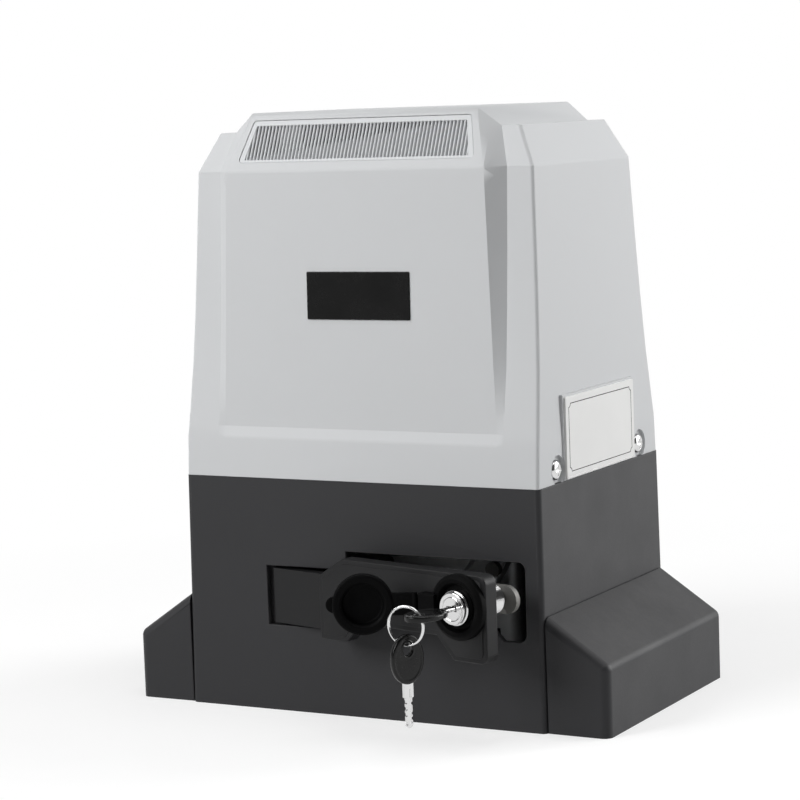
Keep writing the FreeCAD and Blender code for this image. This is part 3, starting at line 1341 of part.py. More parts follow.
def toothed(teeth, root_radius, tip_radius, root_half, tip_half, height, turned=0.0):
    """A gear outline of straight flanks; half angles in degrees at root and tip."""
    points = []
    for index in range(int(teeth)):
        middle = 360 * index / teeth + turned
        for radius, offset in ((root_radius, -root_half), (tip_radius, -tip_half),
                               (tip_radius, tip_half), (root_radius, root_half)):
            angle = math.radians(middle + offset)
            points.append(V(radius * math.cos(angle), radius * math.sin(angle), height))
    return Part.makePolygon(points + [points[0]])


def worm_wheel():
    """The bronze wheel, its teeth slanted to the lead of the worm."""
    module, teeth, width = D.worm_module.value, D.wheel_teeth.value, D.wheel_width.value
    pitch = module * teeth / 2
    lead = math.atan(module / (2 * (D.centre_distance.value - pitch)))
    twist = math.degrees(math.tan(lead) * width / 2 / pitch)
    tip, base = pitch + module, pitch - WORM_DEDENDUM * module
    root_half = math.degrees(D.wheel_tooth_base.value / pitch)
    tip_half = math.degrees(D.wheel_tooth_tip.value / pitch)
    loops = [toothed(teeth, base, tip, root_half, tip_half, side * width / 2, 180 - side * twist)
             for side in (-1, 1)]
    wheel = Part.makeLoft(loops, True, True)
    wheel = wheel.cut(Part.makeCylinder(D.shaft_radius.value, width * 2, V(0, 0, -width)))
    depth = width / 2 - D.wheel_web.value
    web = Part.makeCylinder(base - D.wheel_web.value, width, V(0, 0, depth)).cut(
        Part.makeCylinder(D.shaft_radius.value + D.wheel_hub.value, width, V(0, 0, depth)))
    wheel = wheel.cut(web).cut(web.mirror(V(0, 0, 0), V(0, 0, 1)))
    item = form("wheel_form", wheel)
    item.Placement = FreeCAD.Placement(V(0, 0, 0), FreeCAD.Rotation(V(1, 0, 0), -90))
    return node("worm_wheel", place(item, D.wheel_x, D.drive_y, D.drive_z))


def involute_point(base_radius, radius, sign, offset):
    """A point of an involute flank at a radius, offset from the tooth's middle line."""
    roll = math.sqrt(max((radius / base_radius) ** 2 - 1, 0))
    angle = sign * (offset - (roll - math.atan(roll)))
    return radius * math.cos(angle), radius * math.sin(angle)


def output_pinion():
    """The steel output pinion with involute teeth, hub and bore."""
    module, teeth = D.pinion_module.value, int(D.pinion_teeth.value)
    pitch = module * teeth / 2
    pressure = math.radians(D.pressure_angle.value)
    base = pitch * math.cos(pressure)
    tip, foot = pitch + module, pitch - SPUR_DEDENDUM * module
    offset = math.pi / 2 / teeth + math.tan(pressure) - pressure
    start = max(base, foot)
    radii = [start + (tip - start) * i / FLANK_STEPS for i in range(FLANK_STEPS + 1)]
    flank = [involute_point(base, radius, -1, offset) for radius in radii]
    other = [involute_point(base, radius, 1, offset) for radius in radii[::-1]]
    foot_angle = math.atan2(flank[0][1], flank[0][0])
    points = []
    for index in range(teeth):
        turn_by = 2 * math.pi * index / teeth
        tooth = [(foot * math.cos(foot_angle), foot * math.sin(foot_angle))] + flank + other
        tooth += [(foot * math.cos(foot_angle), -foot * math.sin(foot_angle))]
        c, s = math.cos(turn_by), math.sin(turn_by)
        points += [V(x * c - y * s, x * s + y * c, 0) for x, y in tooth]
    width = D.pinion_width.value
    gear = Part.Face(Part.makePolygon(points + [points[0]])).extrude(V(0, 0, width))
    hub_length, past = D.pinion_start.value - D.pinion_hub_start.value, D.tool_past.value
    gear = gear.fuse(Part.makeCylinder(D.pinion_hub.value, hub_length + past, V(0, 0, -hub_length)))
    bore_start = V(0, 0, -hub_length - past)
    gear = gear.cut(Part.makeCylinder(D.shaft_radius.value, width + hub_length + past * 2, bore_start))
    item = form("pinion_form", gear.removeSplitter())
    item.Placement = FreeCAD.Placement(V(0, 0, 0), FreeCAD.Rotation(V(1, 0, 0), -90))
    return node("output_pinion", place(item, D.wheel_x, D.pinion_start, D.drive_z))


def output_shaft():
    """The output shaft with the washer and bolt that hold the pinion."""
    front = D.gearbox_front - D.bearing_width
    rear = D.pinion_start + D.pinion_width - D.shaft_end_gap
    shaft = rod("shaft_stem", D.shaft_radius, rear - front, (D.wheel_x, front, D.drive_z), "+y")
    thread = rod("shaft_thread", D.pinion_bolt_radius, D.pinion_width,
                 (D.wheel_x, rear - D.pinion_thread_deep, D.drive_z), "+y")
    node("output_shaft", cut("shaft_finished", shaft, thread))
    face = D.pinion_start + D.pinion_width
    washer = cut("washer_finished", rod("washer_disc", D.washer_radius, D.washer_thick,
                                        (D.wheel_x, face, D.drive_z), "+y"),
                 rod("washer_hole", D.pinion_bolt_radius, D.washer_thick * 3,
                     (D.wheel_x, face - D.washer_thick, D.drive_z), "+y"))
    node("pinion_washer", washer)
    hexagon = doc.addObject("Part::Prism", "pinion_bolt_hex")
    hexagon.Polygon = 6
    hexagon.Placement = FreeCAD.Placement(V(0, 0, 0), FreeCAD.Rotation(V(1, 0, 0), -90))
    bind(hexagon, Circumradius=D.pinion_bolt_head, Height=D.pinion_bolt_height)
    place(hexagon, D.wheel_x, face + D.washer_thick, D.drive_z)
    stem = rod("pinion_bolt_stem", D.pinion_bolt_radius, D.pinion_bolt_grip + D.washer_thick + D.tool_past,
               (D.wheel_x, face - D.pinion_bolt_grip, D.drive_z), "+y")
    node("pinion_bolt", fuse("pinion_bolt_finished", hexagon, stem))


def rotor_shaft():
    """The motor shaft with the worm cut on its lower end."""
    pitch = math.pi * D.worm_module.value
    length = pitch * D.worm_turns.value
    root_r, outer = D.worm_root.value, D.worm_outer.value
    inner = root_r - D.thread_sink.value
    start = worm_start(length)
    helix = Part.makeHelix(pitch, length, inner)
    half_base, half_crest = D.thread_base.value / 2, D.thread_crest.value / 2
    profile = Part.makePolygon([V(inner, 0, -half_base), V(outer, 0, -half_crest), V(outer, 0, half_crest),
                                V(inner, 0, half_base), V(inner, 0, -half_base)])
    thread = Part.Wire(helix).makePipeShell([profile], True, True)
    thread.translate(V(0, 0, start))
    low, high = D.shaft_low.value, SHAFT_HIGH.value
    core = Part.makeCylinder(D.rotor_shaft_radius.value, high - low, V(0, 0, low))
    relief = D.worm_relief.value
    band_start, band_length = V(0, 0, start - relief), length + relief * 2
    band = Part.makeCylinder(D.rotor_shaft_radius.value * 2, band_length, band_start)
    band = band.cut(Part.makeCylinder(root_r, band_length, band_start))
    worm = core.cut(band).fuse(thread)
    item = form("rotor_shaft_form", worm)
    return node("rotor_shaft", place(item, D.wheel_x - D.centre_distance, D.drive_y, 0))


def worm_start(length):
    """Where the thread starts so that a gap of it faces the wheel's middle tooth."""
    pitch = math.pi * D.worm_module.value
    middle = D.drive_z.value - length / 2
    turns = round((D.drive_z.value - middle) / pitch - 0.5) + 0.5
    return D.drive_z.value - turns * pitch


def motor():
    """The motor: bells, finned casing, stator, windings, rotor core and tie bolts."""
    x, y = D.wheel_x - D.centre_distance, D.drive_y
    bell = rod("lower_bell_disc", D.bell_radius, D.bell_top - D.gearbox_top, (x, y, D.gearbox_top))
    bell_inner = D.casing_inner - D.bell_wall
    shaft_way = D.rotor_shaft_radius + D.shaft_clearance
    hollow = rod("lower_bell_hollow", bell_inner, D.bell_top, (x, y, D.gearbox_top + D.bell_floor))
    bell = cut("lower_bell_finished", bell, hollow,
               rod("lower_bell_way", shaft_way, D.bell_top, (x, y, D.gearbox_top - D.tool_past)))
    node("motor_lower_bell", bell)

    core = rod("casing_tube", D.bell_radius, CASING_TOP - D.bell_top, (x, y, D.bell_top))
    bore = rod("casing_bore", D.casing_inner, CASING_TOP, (x, y, D.gearbox_top))
    parts = [core]
    for index in range(int(D.fin_count.value)):
        fin = doc.addObject("Part::Box", f"casing_fin_{index}")
        angle = 360 * index / D.fin_count.value
        spin = FreeCAD.Rotation(V(0, 0, 1), angle)
        bind(fin, Length=D.fin_radius - D.bell_radius + D.fin_root, Width=D.fin_thick,
             Height=CASING_TOP - D.bell_top - D.fin_end * 2)
        fin.Placement = FreeCAD.Placement(V(0, 0, 0), spin)
        c, s = cosine(as_size(angle)), sine(as_size(angle))
        reach = D.bell_radius - D.fin_root
        place(fin, x + reach * c + D.fin_thick / 2 * s, y + reach * s - D.fin_thick / 2 * c,
              D.bell_top + D.fin_end)
        parts.append(fin)
    node("motor_casing", cut("casing_finished", fuse("casing_joined", *parts), bore))

    top = rod("upper_bell_disc", D.bell_radius, UPPER_BELL_TOP - CASING_TOP, (x, y, CASING_TOP))
    high = UPPER_BELL_TOP.value
    top = rounded("upper_bell_round", top, D.bell_round, lambda edge: len(edge.Vertexes) == 1
                  and abs(edge.CenterOfMass.z - high) < NEAR)
    top = cut("upper_bell_finished", top,
              rod("upper_bell_hollow", bell_inner, UPPER_BELL_TOP - CASING_TOP - D.bell_roof,
                  (x, y, CASING_TOP)),
              rod("upper_bell_seat", D.small_bearing_radius, D.small_bearing_width,
                  (x, y, top_bearing_low())),
              rod("upper_bell_way", shaft_way, D.bell_top, (x, y, CASING_TOP - D.tool_past)))
    node("motor_upper_bell", top)

    stator = cut("stator_finished", rod("stator_stack", D.casing_inner, STATOR_HIGH - D.stator_low,
                                        (x, y, D.stator_low)),
                 rod("stator_bore", D.rotor_radius + D.air_gap, CASING_TOP, (x, y, D.gearbox_top)))
    node("stator_core", stator)
    coils = []
    for tag, low in (("low", D.stator_low - D.winding_height), ("high", STATOR_HIGH)):
        ring = rod(f"winding_{tag}_ring", D.winding_outer, D.winding_height, (x, y, low))
        middle = (low + D.winding_height).value if tag == "high" else low.value
        ring = rounded(f"winding_{tag}_round", ring, D.winding_round, lambda edge: len(edge.Vertexes) == 1
                       and abs(edge.CenterOfMass.z - middle) < NEAR)
        coils.append(cut(f"winding_{tag}", ring, rod(f"winding_{tag}_bore", D.winding_inner,
                                                     D.winding_height * 3, (x, y, low - D.winding_height))))
    node("stator_windings", doc_compound("winding_pair", coils))
    stack = rod("rotor_stack", D.rotor_radius, ROTOR_HIGH - D.rotor_low, (x, y, D.rotor_low))
    rotor = cut("rotor_finished", stack,
                rod("rotor_bore", D.rotor_shaft_radius, ROTOR_HIGH, (x, y, D.gearbox_top)))
    node("rotor_core", rotor)
    bolts = []
    for index in range(int(D.tie_count.value)):
        angle = as_size(360 * (index + 0.5) / D.tie_count.value)
        at = (x + D.tie_circle * cosine(angle), y + D.tie_circle * sine(angle))
        bolts.append(rod(f"tie_head_{index}", D.tie_head, D.tie_height, (*at, UPPER_BELL_TOP)))
    node("motor_tie_bolts", doc_compound("tie_set", bolts))


def doc_compound(name, items):
    """Pieces that lie apart but are fitted as one set."""
    item = doc.addObject("Part::Compound", name)
    item.Links = items
    return item


def control_gear():
    """Bracket, capacitor with its clamp, and the control board beside the motor."""
    t = D.bracket_thick
    low, right = D.gearbox_top, D.bracket_right
    base = block("bracket_base", (D.bracket_left, right), (D.bracket_front, D.bracket_rear), (low, low + t))
    wall = block("bracket_wall", (right - t, right), (D.bracket_front, D.bracket_rear),
                 (low, BRACKET_HEIGHT))
    window = block("bracket_window", (right - t * 2, right + t),
                   (D.bracket_front + D.bracket_side, D.bracket_rear - D.bracket_side),
                   (low + D.bracket_sill, BRACKET_HEIGHT - D.bracket_lintel))
    node("control_bracket", cut("bracket_finished", fuse("bracket_joined", base, wall), window))
    x, y, z = D.capacitor_x, D.capacitor_y, low + t
    can = rod("capacitor_can", D.capacitor_radius, D.capacitor_height, (x, y, z))
    high = (z + D.capacitor_height).value
    can = rounded("capacitor_edge", can, D.capacitor_round, lambda edge: len(edge.Vertexes) == 1
                  and abs(edge.CenterOfMass.z - high) < NEAR)
    tag_low = z + D.capacitor_height - D.tag_thick
    tags = [block(f"capacitor_tag_{i}", (x - D.tag_half, x + D.tag_half),
                  (y + side * D.tag_spread - D.tag_thick / 2, y + side * D.tag_spread + D.tag_thick / 2),
                  (tag_low, tag_low + D.tag_thick + D.tag_height)) for i, side in enumerate((-1, 1))]
    node("capacitor", fuse("capacitor_finished", can, *tags))
    clamp_low = z + D.capacitor_height / 2
    band = rod("clamp_band", D.capacitor_radius + D.clamp_wall, D.clamp_width, (x, y, clamp_low))
    ear = block("clamp_ear", (x, right - t), (y - D.ear_half, y + D.ear_half),
                (clamp_low, clamp_low + D.clamp_width))
    bore = rod("clamp_bore", D.capacitor_radius, D.capacitor_height, (x, y, z))
    node("capacitor_clamp", cut("clamp_finished", fuse("clamp_joined", band, ear), bore))
    control_board((D.bracket_front + D.bracket_rear) / 2)


def control_board(middle):
    """The control board on its posts, with terminals, relays and smaller parts."""
    y0, y1 = middle - D.board_half_y, middle + D.board_half_y
    x0 = D.bracket_right + D.board_gap
    x1 = x0 + D.board_thick
    tall = x1 + D.part_height
    low, high = D.board_low, BOARD_HIGH
    board = [block("board_sheet", (x0, x1), (y0, y1), (low, high))]
    for i, (side, level) in enumerate(((-1, -1), (-1, 1), (1, -1), (1, 1))):
        at = (D.bracket_right, middle + side * (D.board_half_y - D.post_inset),
              (low + high) / 2 + level * ((high - low) / 2 - D.post_inset))
        board.append(rod(f"board_post_{i}", D.post_radius, D.board_gap, at, "+x"))
    board.append(block("board_terminals", (x1, tall), (y0 + D.terminal_end, y1 - D.terminal_end),
                       (low + D.terminal_low, low + D.terminal_high)))
    for tag, start in (("a", D.relay_a_y), ("b", D.relay_b_y)):
        board.append(block(f"board_relay_{tag}", (x1, tall), (y0 + start, y0 + start + D.relay_width),
                           (high - D.relay_low, high - D.relay_high)))
    board.append(block("board_chip", (x1, x1 + D.chip_height), (middle - D.relay_width, middle),
                       (low + D.relay_low, low + D.relay_low + D.terminal_high)))
    board.append(block("board_radio", (x1, x1 + D.radio_height), (y1 - D.relay_b_y, y1 - D.relay_a_y),
                       (low + D.relay_low, low + D.relay_low * 2)))
    for tag, drop in (("a", D.can_a_z), ("b", D.can_b_z)):
        board.append(rod(f"board_can_{tag}", D.can_radius, D.part_height,
                         (x1, y1 - D.can_y, high - drop), "+x"))
    node("control_board", fuse("board_finished", *board))


def limit_switch():
    """The limit switch above the pinion and its spring whisker."""
    low = D.gearbox_top
    box = block("limit_case", (D.limit_x - D.limit_half_x, D.limit_x + D.limit_half_x),
                (D.limit_front, D.limit_rear), (low, low + D.limit_height))
    rear = D.limit_rear.value
    box = rounded("limit_case_round", box, D.limit_round, lambda edge: along(0, 0, 1)(edge)
                  and abs(edge.Vertexes[0].Point.y - rear) < NEAR)
    socket_floor = low + D.limit_height - D.whisker_socket
    socket = rod("limit_socket", D.whisker_radius * D.whisker_room, D.whisker_socket * 2,
                 (D.limit_x, D.whisker_y, socket_floor))
    node("limit_switch_box", cut("limit_finished", box, socket))
    pivot = socket_floor + D.seat_gap + D.whisker_radius
    stem = rod("whisker_rod", D.whisker_radius, D.whisker_length, (D.limit_x, D.whisker_y, pivot))
    foot = rod("whisker_barrel", D.whisker_radius, D.whisker_foot,
               (D.limit_x, D.whisker_y - D.whisker_foot / 2, pivot), "+y")
    node("limit_whisker", fuse("whisker_finished", stem, foot))


def cable_gland():
    """The cable inlet through the rear wall, with its nut inside."""
    wall_y = D.housing_half_y + D.draft_y
    at = (D.gland_x, wall_y, D.gland_z)
    inner_y = D.housing_half_y - D.housing_wall
    hexagon = doc.addObject("Part::Prism", "gland_hexagon")
    hexagon.Polygon = 6
    hexagon.Placement = FreeCAD.Placement(V(0, 0, 0), FreeCAD.Rotation(V(1, 0, 0), -90))
    bind(hexagon, Circumradius=D.gland_hex, Height=D.gland_flange)
    place(hexagon, *at)
    dome = cone("gland_cap", D.gland_hex - D.gland_dome_low, D.gland_hex - D.gland_dome_high, D.gland_dome,
                (D.gland_x, wall_y + D.gland_flange, D.gland_z), "+y")
    stem = rod("gland_thread_rod", D.gland_thread, wall_y - inner_y + D.gland_stem + D.tool_past,
               (D.gland_x, inner_y - D.gland_stem, D.gland_z), "+y")
    nut = doc.addObject("Part::Prism", "gland_nut_hex")
    nut.Polygon = 6
    nut.Placement = FreeCAD.Placement(V(0, 0, 0), FreeCAD.Rotation(V(1, 0, 0), 90))
    bind(nut, Circumradius=D.gland_hex, Height=D.gland_nut)
    place(nut, D.gland_x, inner_y, D.gland_z)
    bore = rod("gland_bore", D.gland_thread - D.gland_wall, D.housing_half_y,
               (D.gland_x, inner_y - D.gland_stem * 2, D.gland_z), "+y")
    node("cable_gland", cut("gland_finished", fuse("gland_joined", hexagon, dome, stem, nut), bore))


lower_housing()
foot_cover(-1)
foot_cover(1)
hood()
hood_screws()
vent_grille(False)
vent_grille(True)
plates()
release_lever()
release_pin()
cam_lock()
dust_cap()
keys()
lock_catch()
gearbox()
worm_wheel()
output_shaft()
output_pinion()
rotor_shaft()
motor()
control_gear()
limit_switch()
cable_gland()
doc.recompute()

failed = [item.Label for item in doc.Objects if "Invalid" in item.State or "Error" in item.State]
if failed:
    raise RuntimeError(f"these objects failed: {failed}")
for item in nodes:
    if item.Shape.isNull() or not item.Shape.isValid():
        raise RuntimeError(f"{item.Label} has no valid shape")
os.makedirs("parts", exist_ok=True)
for item in nodes:
    item.Shape.exportStep(f"parts/{item.Label}.step")
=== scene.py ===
import json
import math

import bmesh
import bpy
import numpy as np
from bpy.props import FloatProperty, FloatVectorProperty, PointerProperty
from bpy.types import Operator, Panel, PropertyGroup
from mathutils import Matrix, Vector


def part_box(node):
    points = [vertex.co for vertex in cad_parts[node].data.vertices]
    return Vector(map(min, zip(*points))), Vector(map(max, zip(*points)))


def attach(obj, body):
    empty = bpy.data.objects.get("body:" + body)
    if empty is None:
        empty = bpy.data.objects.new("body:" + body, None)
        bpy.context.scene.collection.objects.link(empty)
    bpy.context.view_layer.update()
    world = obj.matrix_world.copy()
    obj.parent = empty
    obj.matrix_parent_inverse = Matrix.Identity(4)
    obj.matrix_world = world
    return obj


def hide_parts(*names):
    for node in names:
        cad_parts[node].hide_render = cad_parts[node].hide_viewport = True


bl_info = {
    "name": "Sliding gate motor",
    "version": (1, 0, 0),
    "blender": (4, 5, 0),
    "location": "View3D > Sidebar > Gate Motor",
    "description": "Dresses a sliding gate motor: faceted hood, slatted vents, release lever, cam lock and keys",
    "category": "Object",
}

MM = 0.001
MERGE = 2e-6
ROUND_STEPS = 7

# a face narrower than this many bevels is a strip of a corner that is round already
STRIP_WIDTH = 2.0
# in degrees: the turn that such a corner shades over, and the steepest edge that is still a crest
ROUND_SHADE = 40.0
STEEPEST = 125.0

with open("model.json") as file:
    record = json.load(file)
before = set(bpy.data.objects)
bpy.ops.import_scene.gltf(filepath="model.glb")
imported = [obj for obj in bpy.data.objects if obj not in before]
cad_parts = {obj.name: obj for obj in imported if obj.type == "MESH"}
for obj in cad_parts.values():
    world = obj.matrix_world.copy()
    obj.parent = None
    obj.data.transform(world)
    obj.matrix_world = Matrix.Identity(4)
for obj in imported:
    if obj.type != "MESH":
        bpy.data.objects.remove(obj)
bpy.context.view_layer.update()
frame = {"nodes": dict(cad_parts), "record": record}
RECORD = frame["record"]
BODY_OF = {node: body for body, nodes in RECORD["behaviour"]["bodies"].items() for node in nodes}
SLOT_OF = {part["node"]: part["material_slot"] for part in RECORD["subparts"]}
SLOT_COLOUR = {row["slot"]: tuple(row["base_color"]) for row in RECORD["materials"]}


# sizes and colours that a user would change

def millimetres(name, description, default):
    return FloatProperty(name=name, description=description, default=default * MM, min=0.0,
                         unit="LENGTH", subtype="DISTANCE", precision=5)


def colour(name, description, slot):
    return FloatVectorProperty(name=name, description=description, default=SLOT_COLOUR[slot],
                               size=3, min=0.0, max=1.0, subtype="COLOR")


class GateMotorStudio(PropertyGroup):
    turn: FloatProperty(name="Camera turn", description="How far the camera stands round to the right of the front",
                        default=math.radians(28.85), subtype="ANGLE")
    rise: FloatProperty(name="Camera rise", description="How far the camera looks down", subtype="ANGLE",
                        default=math.radians(6.59))
    tilt: FloatProperty(name="Camera tilt", description="How far the camera leans about its own sight line",
                        default=math.radians(-2.07), subtype="ANGLE")
    distance: FloatProperty(name="Camera distance", description="From the camera to the point that it looks at",
                            default=1.4948, unit="LENGTH", subtype="DISTANCE")
    lens: FloatProperty(name="Lens", description="Focal length in millimetres on a 36 mm sensor", default=118.7)
    target: FloatVectorProperty(name="Looks at", description="The point in the middle of the view", size=3,
                                default=(-0.0111, -0.0061, 0.1659), subtype="TRANSLATION", unit="LENGTH")
    fill: FloatProperty(name="Fill light", description="Strength of the light from all round", default=0.16)
    front: FloatProperty(name="Front lamp", description="Power of the large lamp at the front left, in watts",
                         default=43.0)
    side: FloatProperty(name="Side lamp", description="Power of the lamp behind on the right, in watts", default=30.0)
    top: FloatProperty(name="Top lamp", description="Power of the lamp overhead, in watts", default=12.0)


class GateMotorShells(PropertyGroup):
    hood_colour: colour("Hood", "Lacquer of the hood", "hood_silver")
    housing_colour: colour("Housing", "Plastic of the lower housing and feet", "housing_black")
    lever_colour: colour("Lever", "Plastic of the release lever", "lever_black")
    crest: millimetres("Hood crests", "Rounding of the hood's crests", 1.1)
    corner: millimetres("Housing corners", "Rounding of the housing's edges", 0.6)
    small_edge: millimetres("Small edges", "Rounding of the cam, its catch and the lock nut", 0.4)
    slat_nose: millimetres("Slat nose", "Width of one vent slat at its rounded nose", 1.1)
    slat_pitch: millimetres("Slat pitch", "From one vent slat to the next", 2.2)


class GateMotorFittings(PropertyGroup):
    badge_edge: millimetres("Badge edge", "Rounding of the badge's rim", 0.35)
    border: millimetres("Plate border", "Width of the dark line round the rating plate", 0.45)
    screw_cross: millimetres("Screw cross", "Width of the cross recess in a hood screw", 1.15)
    thread_pitch: millimetres("Barrel thread", "Pitch of the thread on the lock's barrel", 1.0)
    ring_wire: millimetres("Ring wire", "Thickness of the key ring's flat wire", 0.74)
    bow_rim: millimetres("Key rim", "Width of the raised rim round a key's head", 1.6)
    cap_dish: millimetres("Cap dish", "Radius of the dish in the dust cap", 11.0)


SETTINGS = {"studio": GateMotorStudio, "shells": GateMotorShells, "fittings": GateMotorFittings}


# surfaces: points on a grid in millimetres, worked out in a seat of their own

def unit(vectors):
    """Each vector over its own length."""
    return vectors / np.maximum(np.linalg.norm(vectors, axis=-1, keepdims=True), 1e-12)


def ease(low, high, values):
    """Rises smoothly from 0 at low to 1 at high: 3t^2 - 2t^3."""
    t = np.clip((values - low) / (high - low), 0, 1)
    return t * t * (3 - 2 * t)


def seat(origin, x_axis, z_axis):
    """A place to build in: its origin, and its x, y and z directions as rows."""
    x_axis, z_axis = unit(np.array(x_axis, float)), unit(np.array(z_axis, float))
    return np.array(origin, float), np.stack([x_axis, np.cross(z_axis, x_axis), z_axis])


def put(points, where):
    """From a seat to the scene, in metres: origin + x X + y Y + z Z."""
    origin, axes = where
    return (points @ axes + origin) * MM


def full_turn(count):
    """Even angles once round."""
    return np.linspace(0, 2 * np.pi, count, endpoint=False)


def oval(count, half_x, half_y):
    """A section of count points: (half_x cos a, half_y sin a)."""
    angle = full_turn(count)
    return np.column_stack([half_x * np.cos(angle), half_y * np.sin(angle)])


def net(points, wrap_rows=False):
    """The points of a grid and the quads between neighbouring rows and columns. Its columns go once round."""
    rows, columns = points.shape[:2]
    i = np.arange(rows if wrap_rows else rows - 1)[:, None]
    j = np.arange(columns)[None, :]
    k, l = (i + 1) % rows, (j + 1) % columns
    quads = np.stack(np.broadcast_arrays(i * columns + j, i * columns + l, k * columns + l, k * columns + j), -1)
    return points.reshape(-1, 3), quads.reshape(-1, 4)


def eased_line(corners, radii, steps=ROUND_STEPS):
    """A line whose corners are eased: corner C becomes C + a(1-t)^2 + bt^2, with a and b along its two sides."""
    corners, radii = np.array(corners, float), np.array(radii, float)
    back, ahead = unit(np.roll(corners, 1, 0) - corners), unit(np.roll(corners, -1, 0) - corners)
    half = np.arccos(np.clip((back * ahead).sum(-1), -1, 1)) / 2
    reach = (radii / np.maximum(np.tan(half), 1e-6))[:, None, None]
    t = np.linspace(0, 1, steps)[None, :, None]
    line = corners[:, None] + back[:, None] * reach * (1 - t) ** 2 + ahead[:, None] * reach * t ** 2
    return line.reshape(-1, corners.shape[1])


def turned(profile, where, steps, closed=False):
    """A profile of radius and height carried once round the seat's z: (r cos a, r sin a, h)."""
    angle = full_turn(steps)[None, :]
    radius, height = profile[:, :1], profile[:, 1:] + 0 * angle
    return net(put(np.stack([radius * np.cos(angle), radius * np.sin(angle), height], -1), where), closed)


def lofted(outlines, heights, where, closed=False):
    """Outlines of equal count stacked at their heights: point j of row i is (outline i of j, height i)."""
    rows = [np.column_stack([line, np.full(len(line), height)]) for line, height in zip(outlines, heights)]
    return net(put(np.array(rows), where), closed)


def drawn_in(outline, inset):
    """An outline moved inwards along its own normals."""
    tangent = unit(np.roll(outline, -1, 0) - np.roll(outline, 1, 0))
    normal = np.column_stack([-tangent[:, 1], tangent[:, 0]])
    return outline + normal * inset


def slab(outline, thick, edge, where):
    """A plate: its outline straight up, a quarter round of the given edge, then closed at its middle. A ring
    just inside the round keeps the face flat."""
    turn = np.linspace(0, np.pi / 2, ROUND_STEPS)
    outlines = [outline * 0, outline] + [drawn_in(outline, edge * (1 - math.cos(a))) for a in turn]
    outlines += [drawn_in(outline, edge * 1.2), outline * 0]
    heights = [0, 0] + [thick - edge + edge * math.sin(a) for a in turn] + [thick, thick]
    return lofted(outlines, heights, where)


def swept(path, section, normal, scale=None):
    """A section carried along an open path: path + x side + y up, its ends drawn to a point on the path."""
    scale = np.ones(len(path)) if scale is None else scale
    tangent = unit(np.gradient(path, axis=0))
    side = unit(np.cross(tangent, normal))
    up = np.cross(side, tangent)
    rows = section[None, :, :1] * side[:, None] + section[None, :, 1:] * up[:, None]
    points = path[:, None] + rows * scale[:, None, None]
    ends = [np.repeat(path[i][None, None], len(section), 1) for i in (0, -1)]
    return np.concatenate([ends[0], points, ends[1]])


def rounded_box(half_x, half_y, radius):
    """A rectangle round the middle with eased corners."""
    return eased_line([(half_x, half_y), (-half_x, half_y), (-half_x, -half_y), (half_x, -half_y)], [radius] * 4)


def make_piece(name, surfaces, finish, body, *nodes, sharp=35.0):
    """Joins surfaces into one mesh, merges seams and poles, turns faces outwards and lets it ride."""
    starts = np.cumsum([0] + [len(points) for points, _ in surfaces])
    points = np.concatenate([points for points, _ in surfaces])
    quads = np.concatenate([quads + start for (_, quads), start in zip(surfaces, starts)])
    mesh = bpy.data.meshes.new(name)
    mesh.from_pydata(points.tolist(), [], quads.tolist())
    work = bmesh.new()
    work.from_mesh(mesh)
    bmesh.ops.remove_doubles(work, verts=work.verts, dist=MERGE)
    bmesh.ops.recalc_face_normals(work, faces=work.faces)
    work.to_mesh(mesh)
    work.free()
    mesh.polygons.foreach_set("use_smooth", np.ones(len(mesh.polygons), bool))
    mesh.set_sharp_from_angle(angle=math.radians(sharp))
    show_piece(name, mesh, finish, body, nodes)


def show_piece(name, mesh, finish, body, nodes):
    """Puts a mesh into the scene with its finish, on its body and in place of the nodes that it dresses."""
    piece = bpy.data.objects.new(name, mesh)
    bpy.context.scene.collection.objects.link(piece)
    mesh.materials.clear()
    mesh.materials.append(bpy.data.materials["finish_" + finish])
    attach(piece, body)
    if nodes:
        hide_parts(*nodes)
    return piece


def soften_node(node, name, width, shortest, least=14.0, flat=24.0, join=0.6, crisp=None, corner=0.0):
    """A copy of a moulded node with its flats joined and its long crests bevelled to the given width. Beside a
    narrow strip that lies past the corner's x, edges only shade smoothly, and those that crisp picks stay."""
    mesh = frame["nodes"][node].data.copy()
    work = bmesh.new()
    work.from_mesh(mesh)
    bmesh.ops.remove_doubles(work, verts=work.verts, dist=MERGE)
    bmesh.ops.dissolve_limit(work, angle_limit=math.radians(join), verts=work.verts, edges=work.edges)
    weight = work.edges.layers.float.new("bevel_weight_edge")
    for edge in work.edges:
        crest = math.degrees(edge.calc_face_angle_signed(0.0))
        length = edge.calc_length()
        narrowest = min((face.calc_area() for face in edge.link_faces), default=0.0)
        broad = narrowest > STRIP_WIDTH * width * length
        if length > shortest * MM and least < crest < STEEPEST and broad and not (crisp and crisp(edge)):
            edge[weight] = 1.0
        rounded = not broad and min(abs(vert.co.x) for vert in edge.verts) >= corner
        edge.smooth = abs(crest) < (ROUND_SHADE if rounded else flat) or edge[weight] > 0
    for face in work.faces:
        face.smooth = True
    work.to_mesh(mesh)
    work.free()
    piece = show_piece(name, mesh, SLOT_OF[node], BODY_OF[node], (node,))
    bevel = piece.modifiers.new("Soft crests", "BEVEL")
    bevel.limit_method = "WEIGHT"
    bevel.width = width
    bevel.segments = 3
    bevel.use_clamp_overlap = False
    level = piece.modifiers.new("Flat faces", "WEIGHTED_NORMAL")
    level.weight = 80
    level.keep_sharp = True


# places on the machine, in millimetres

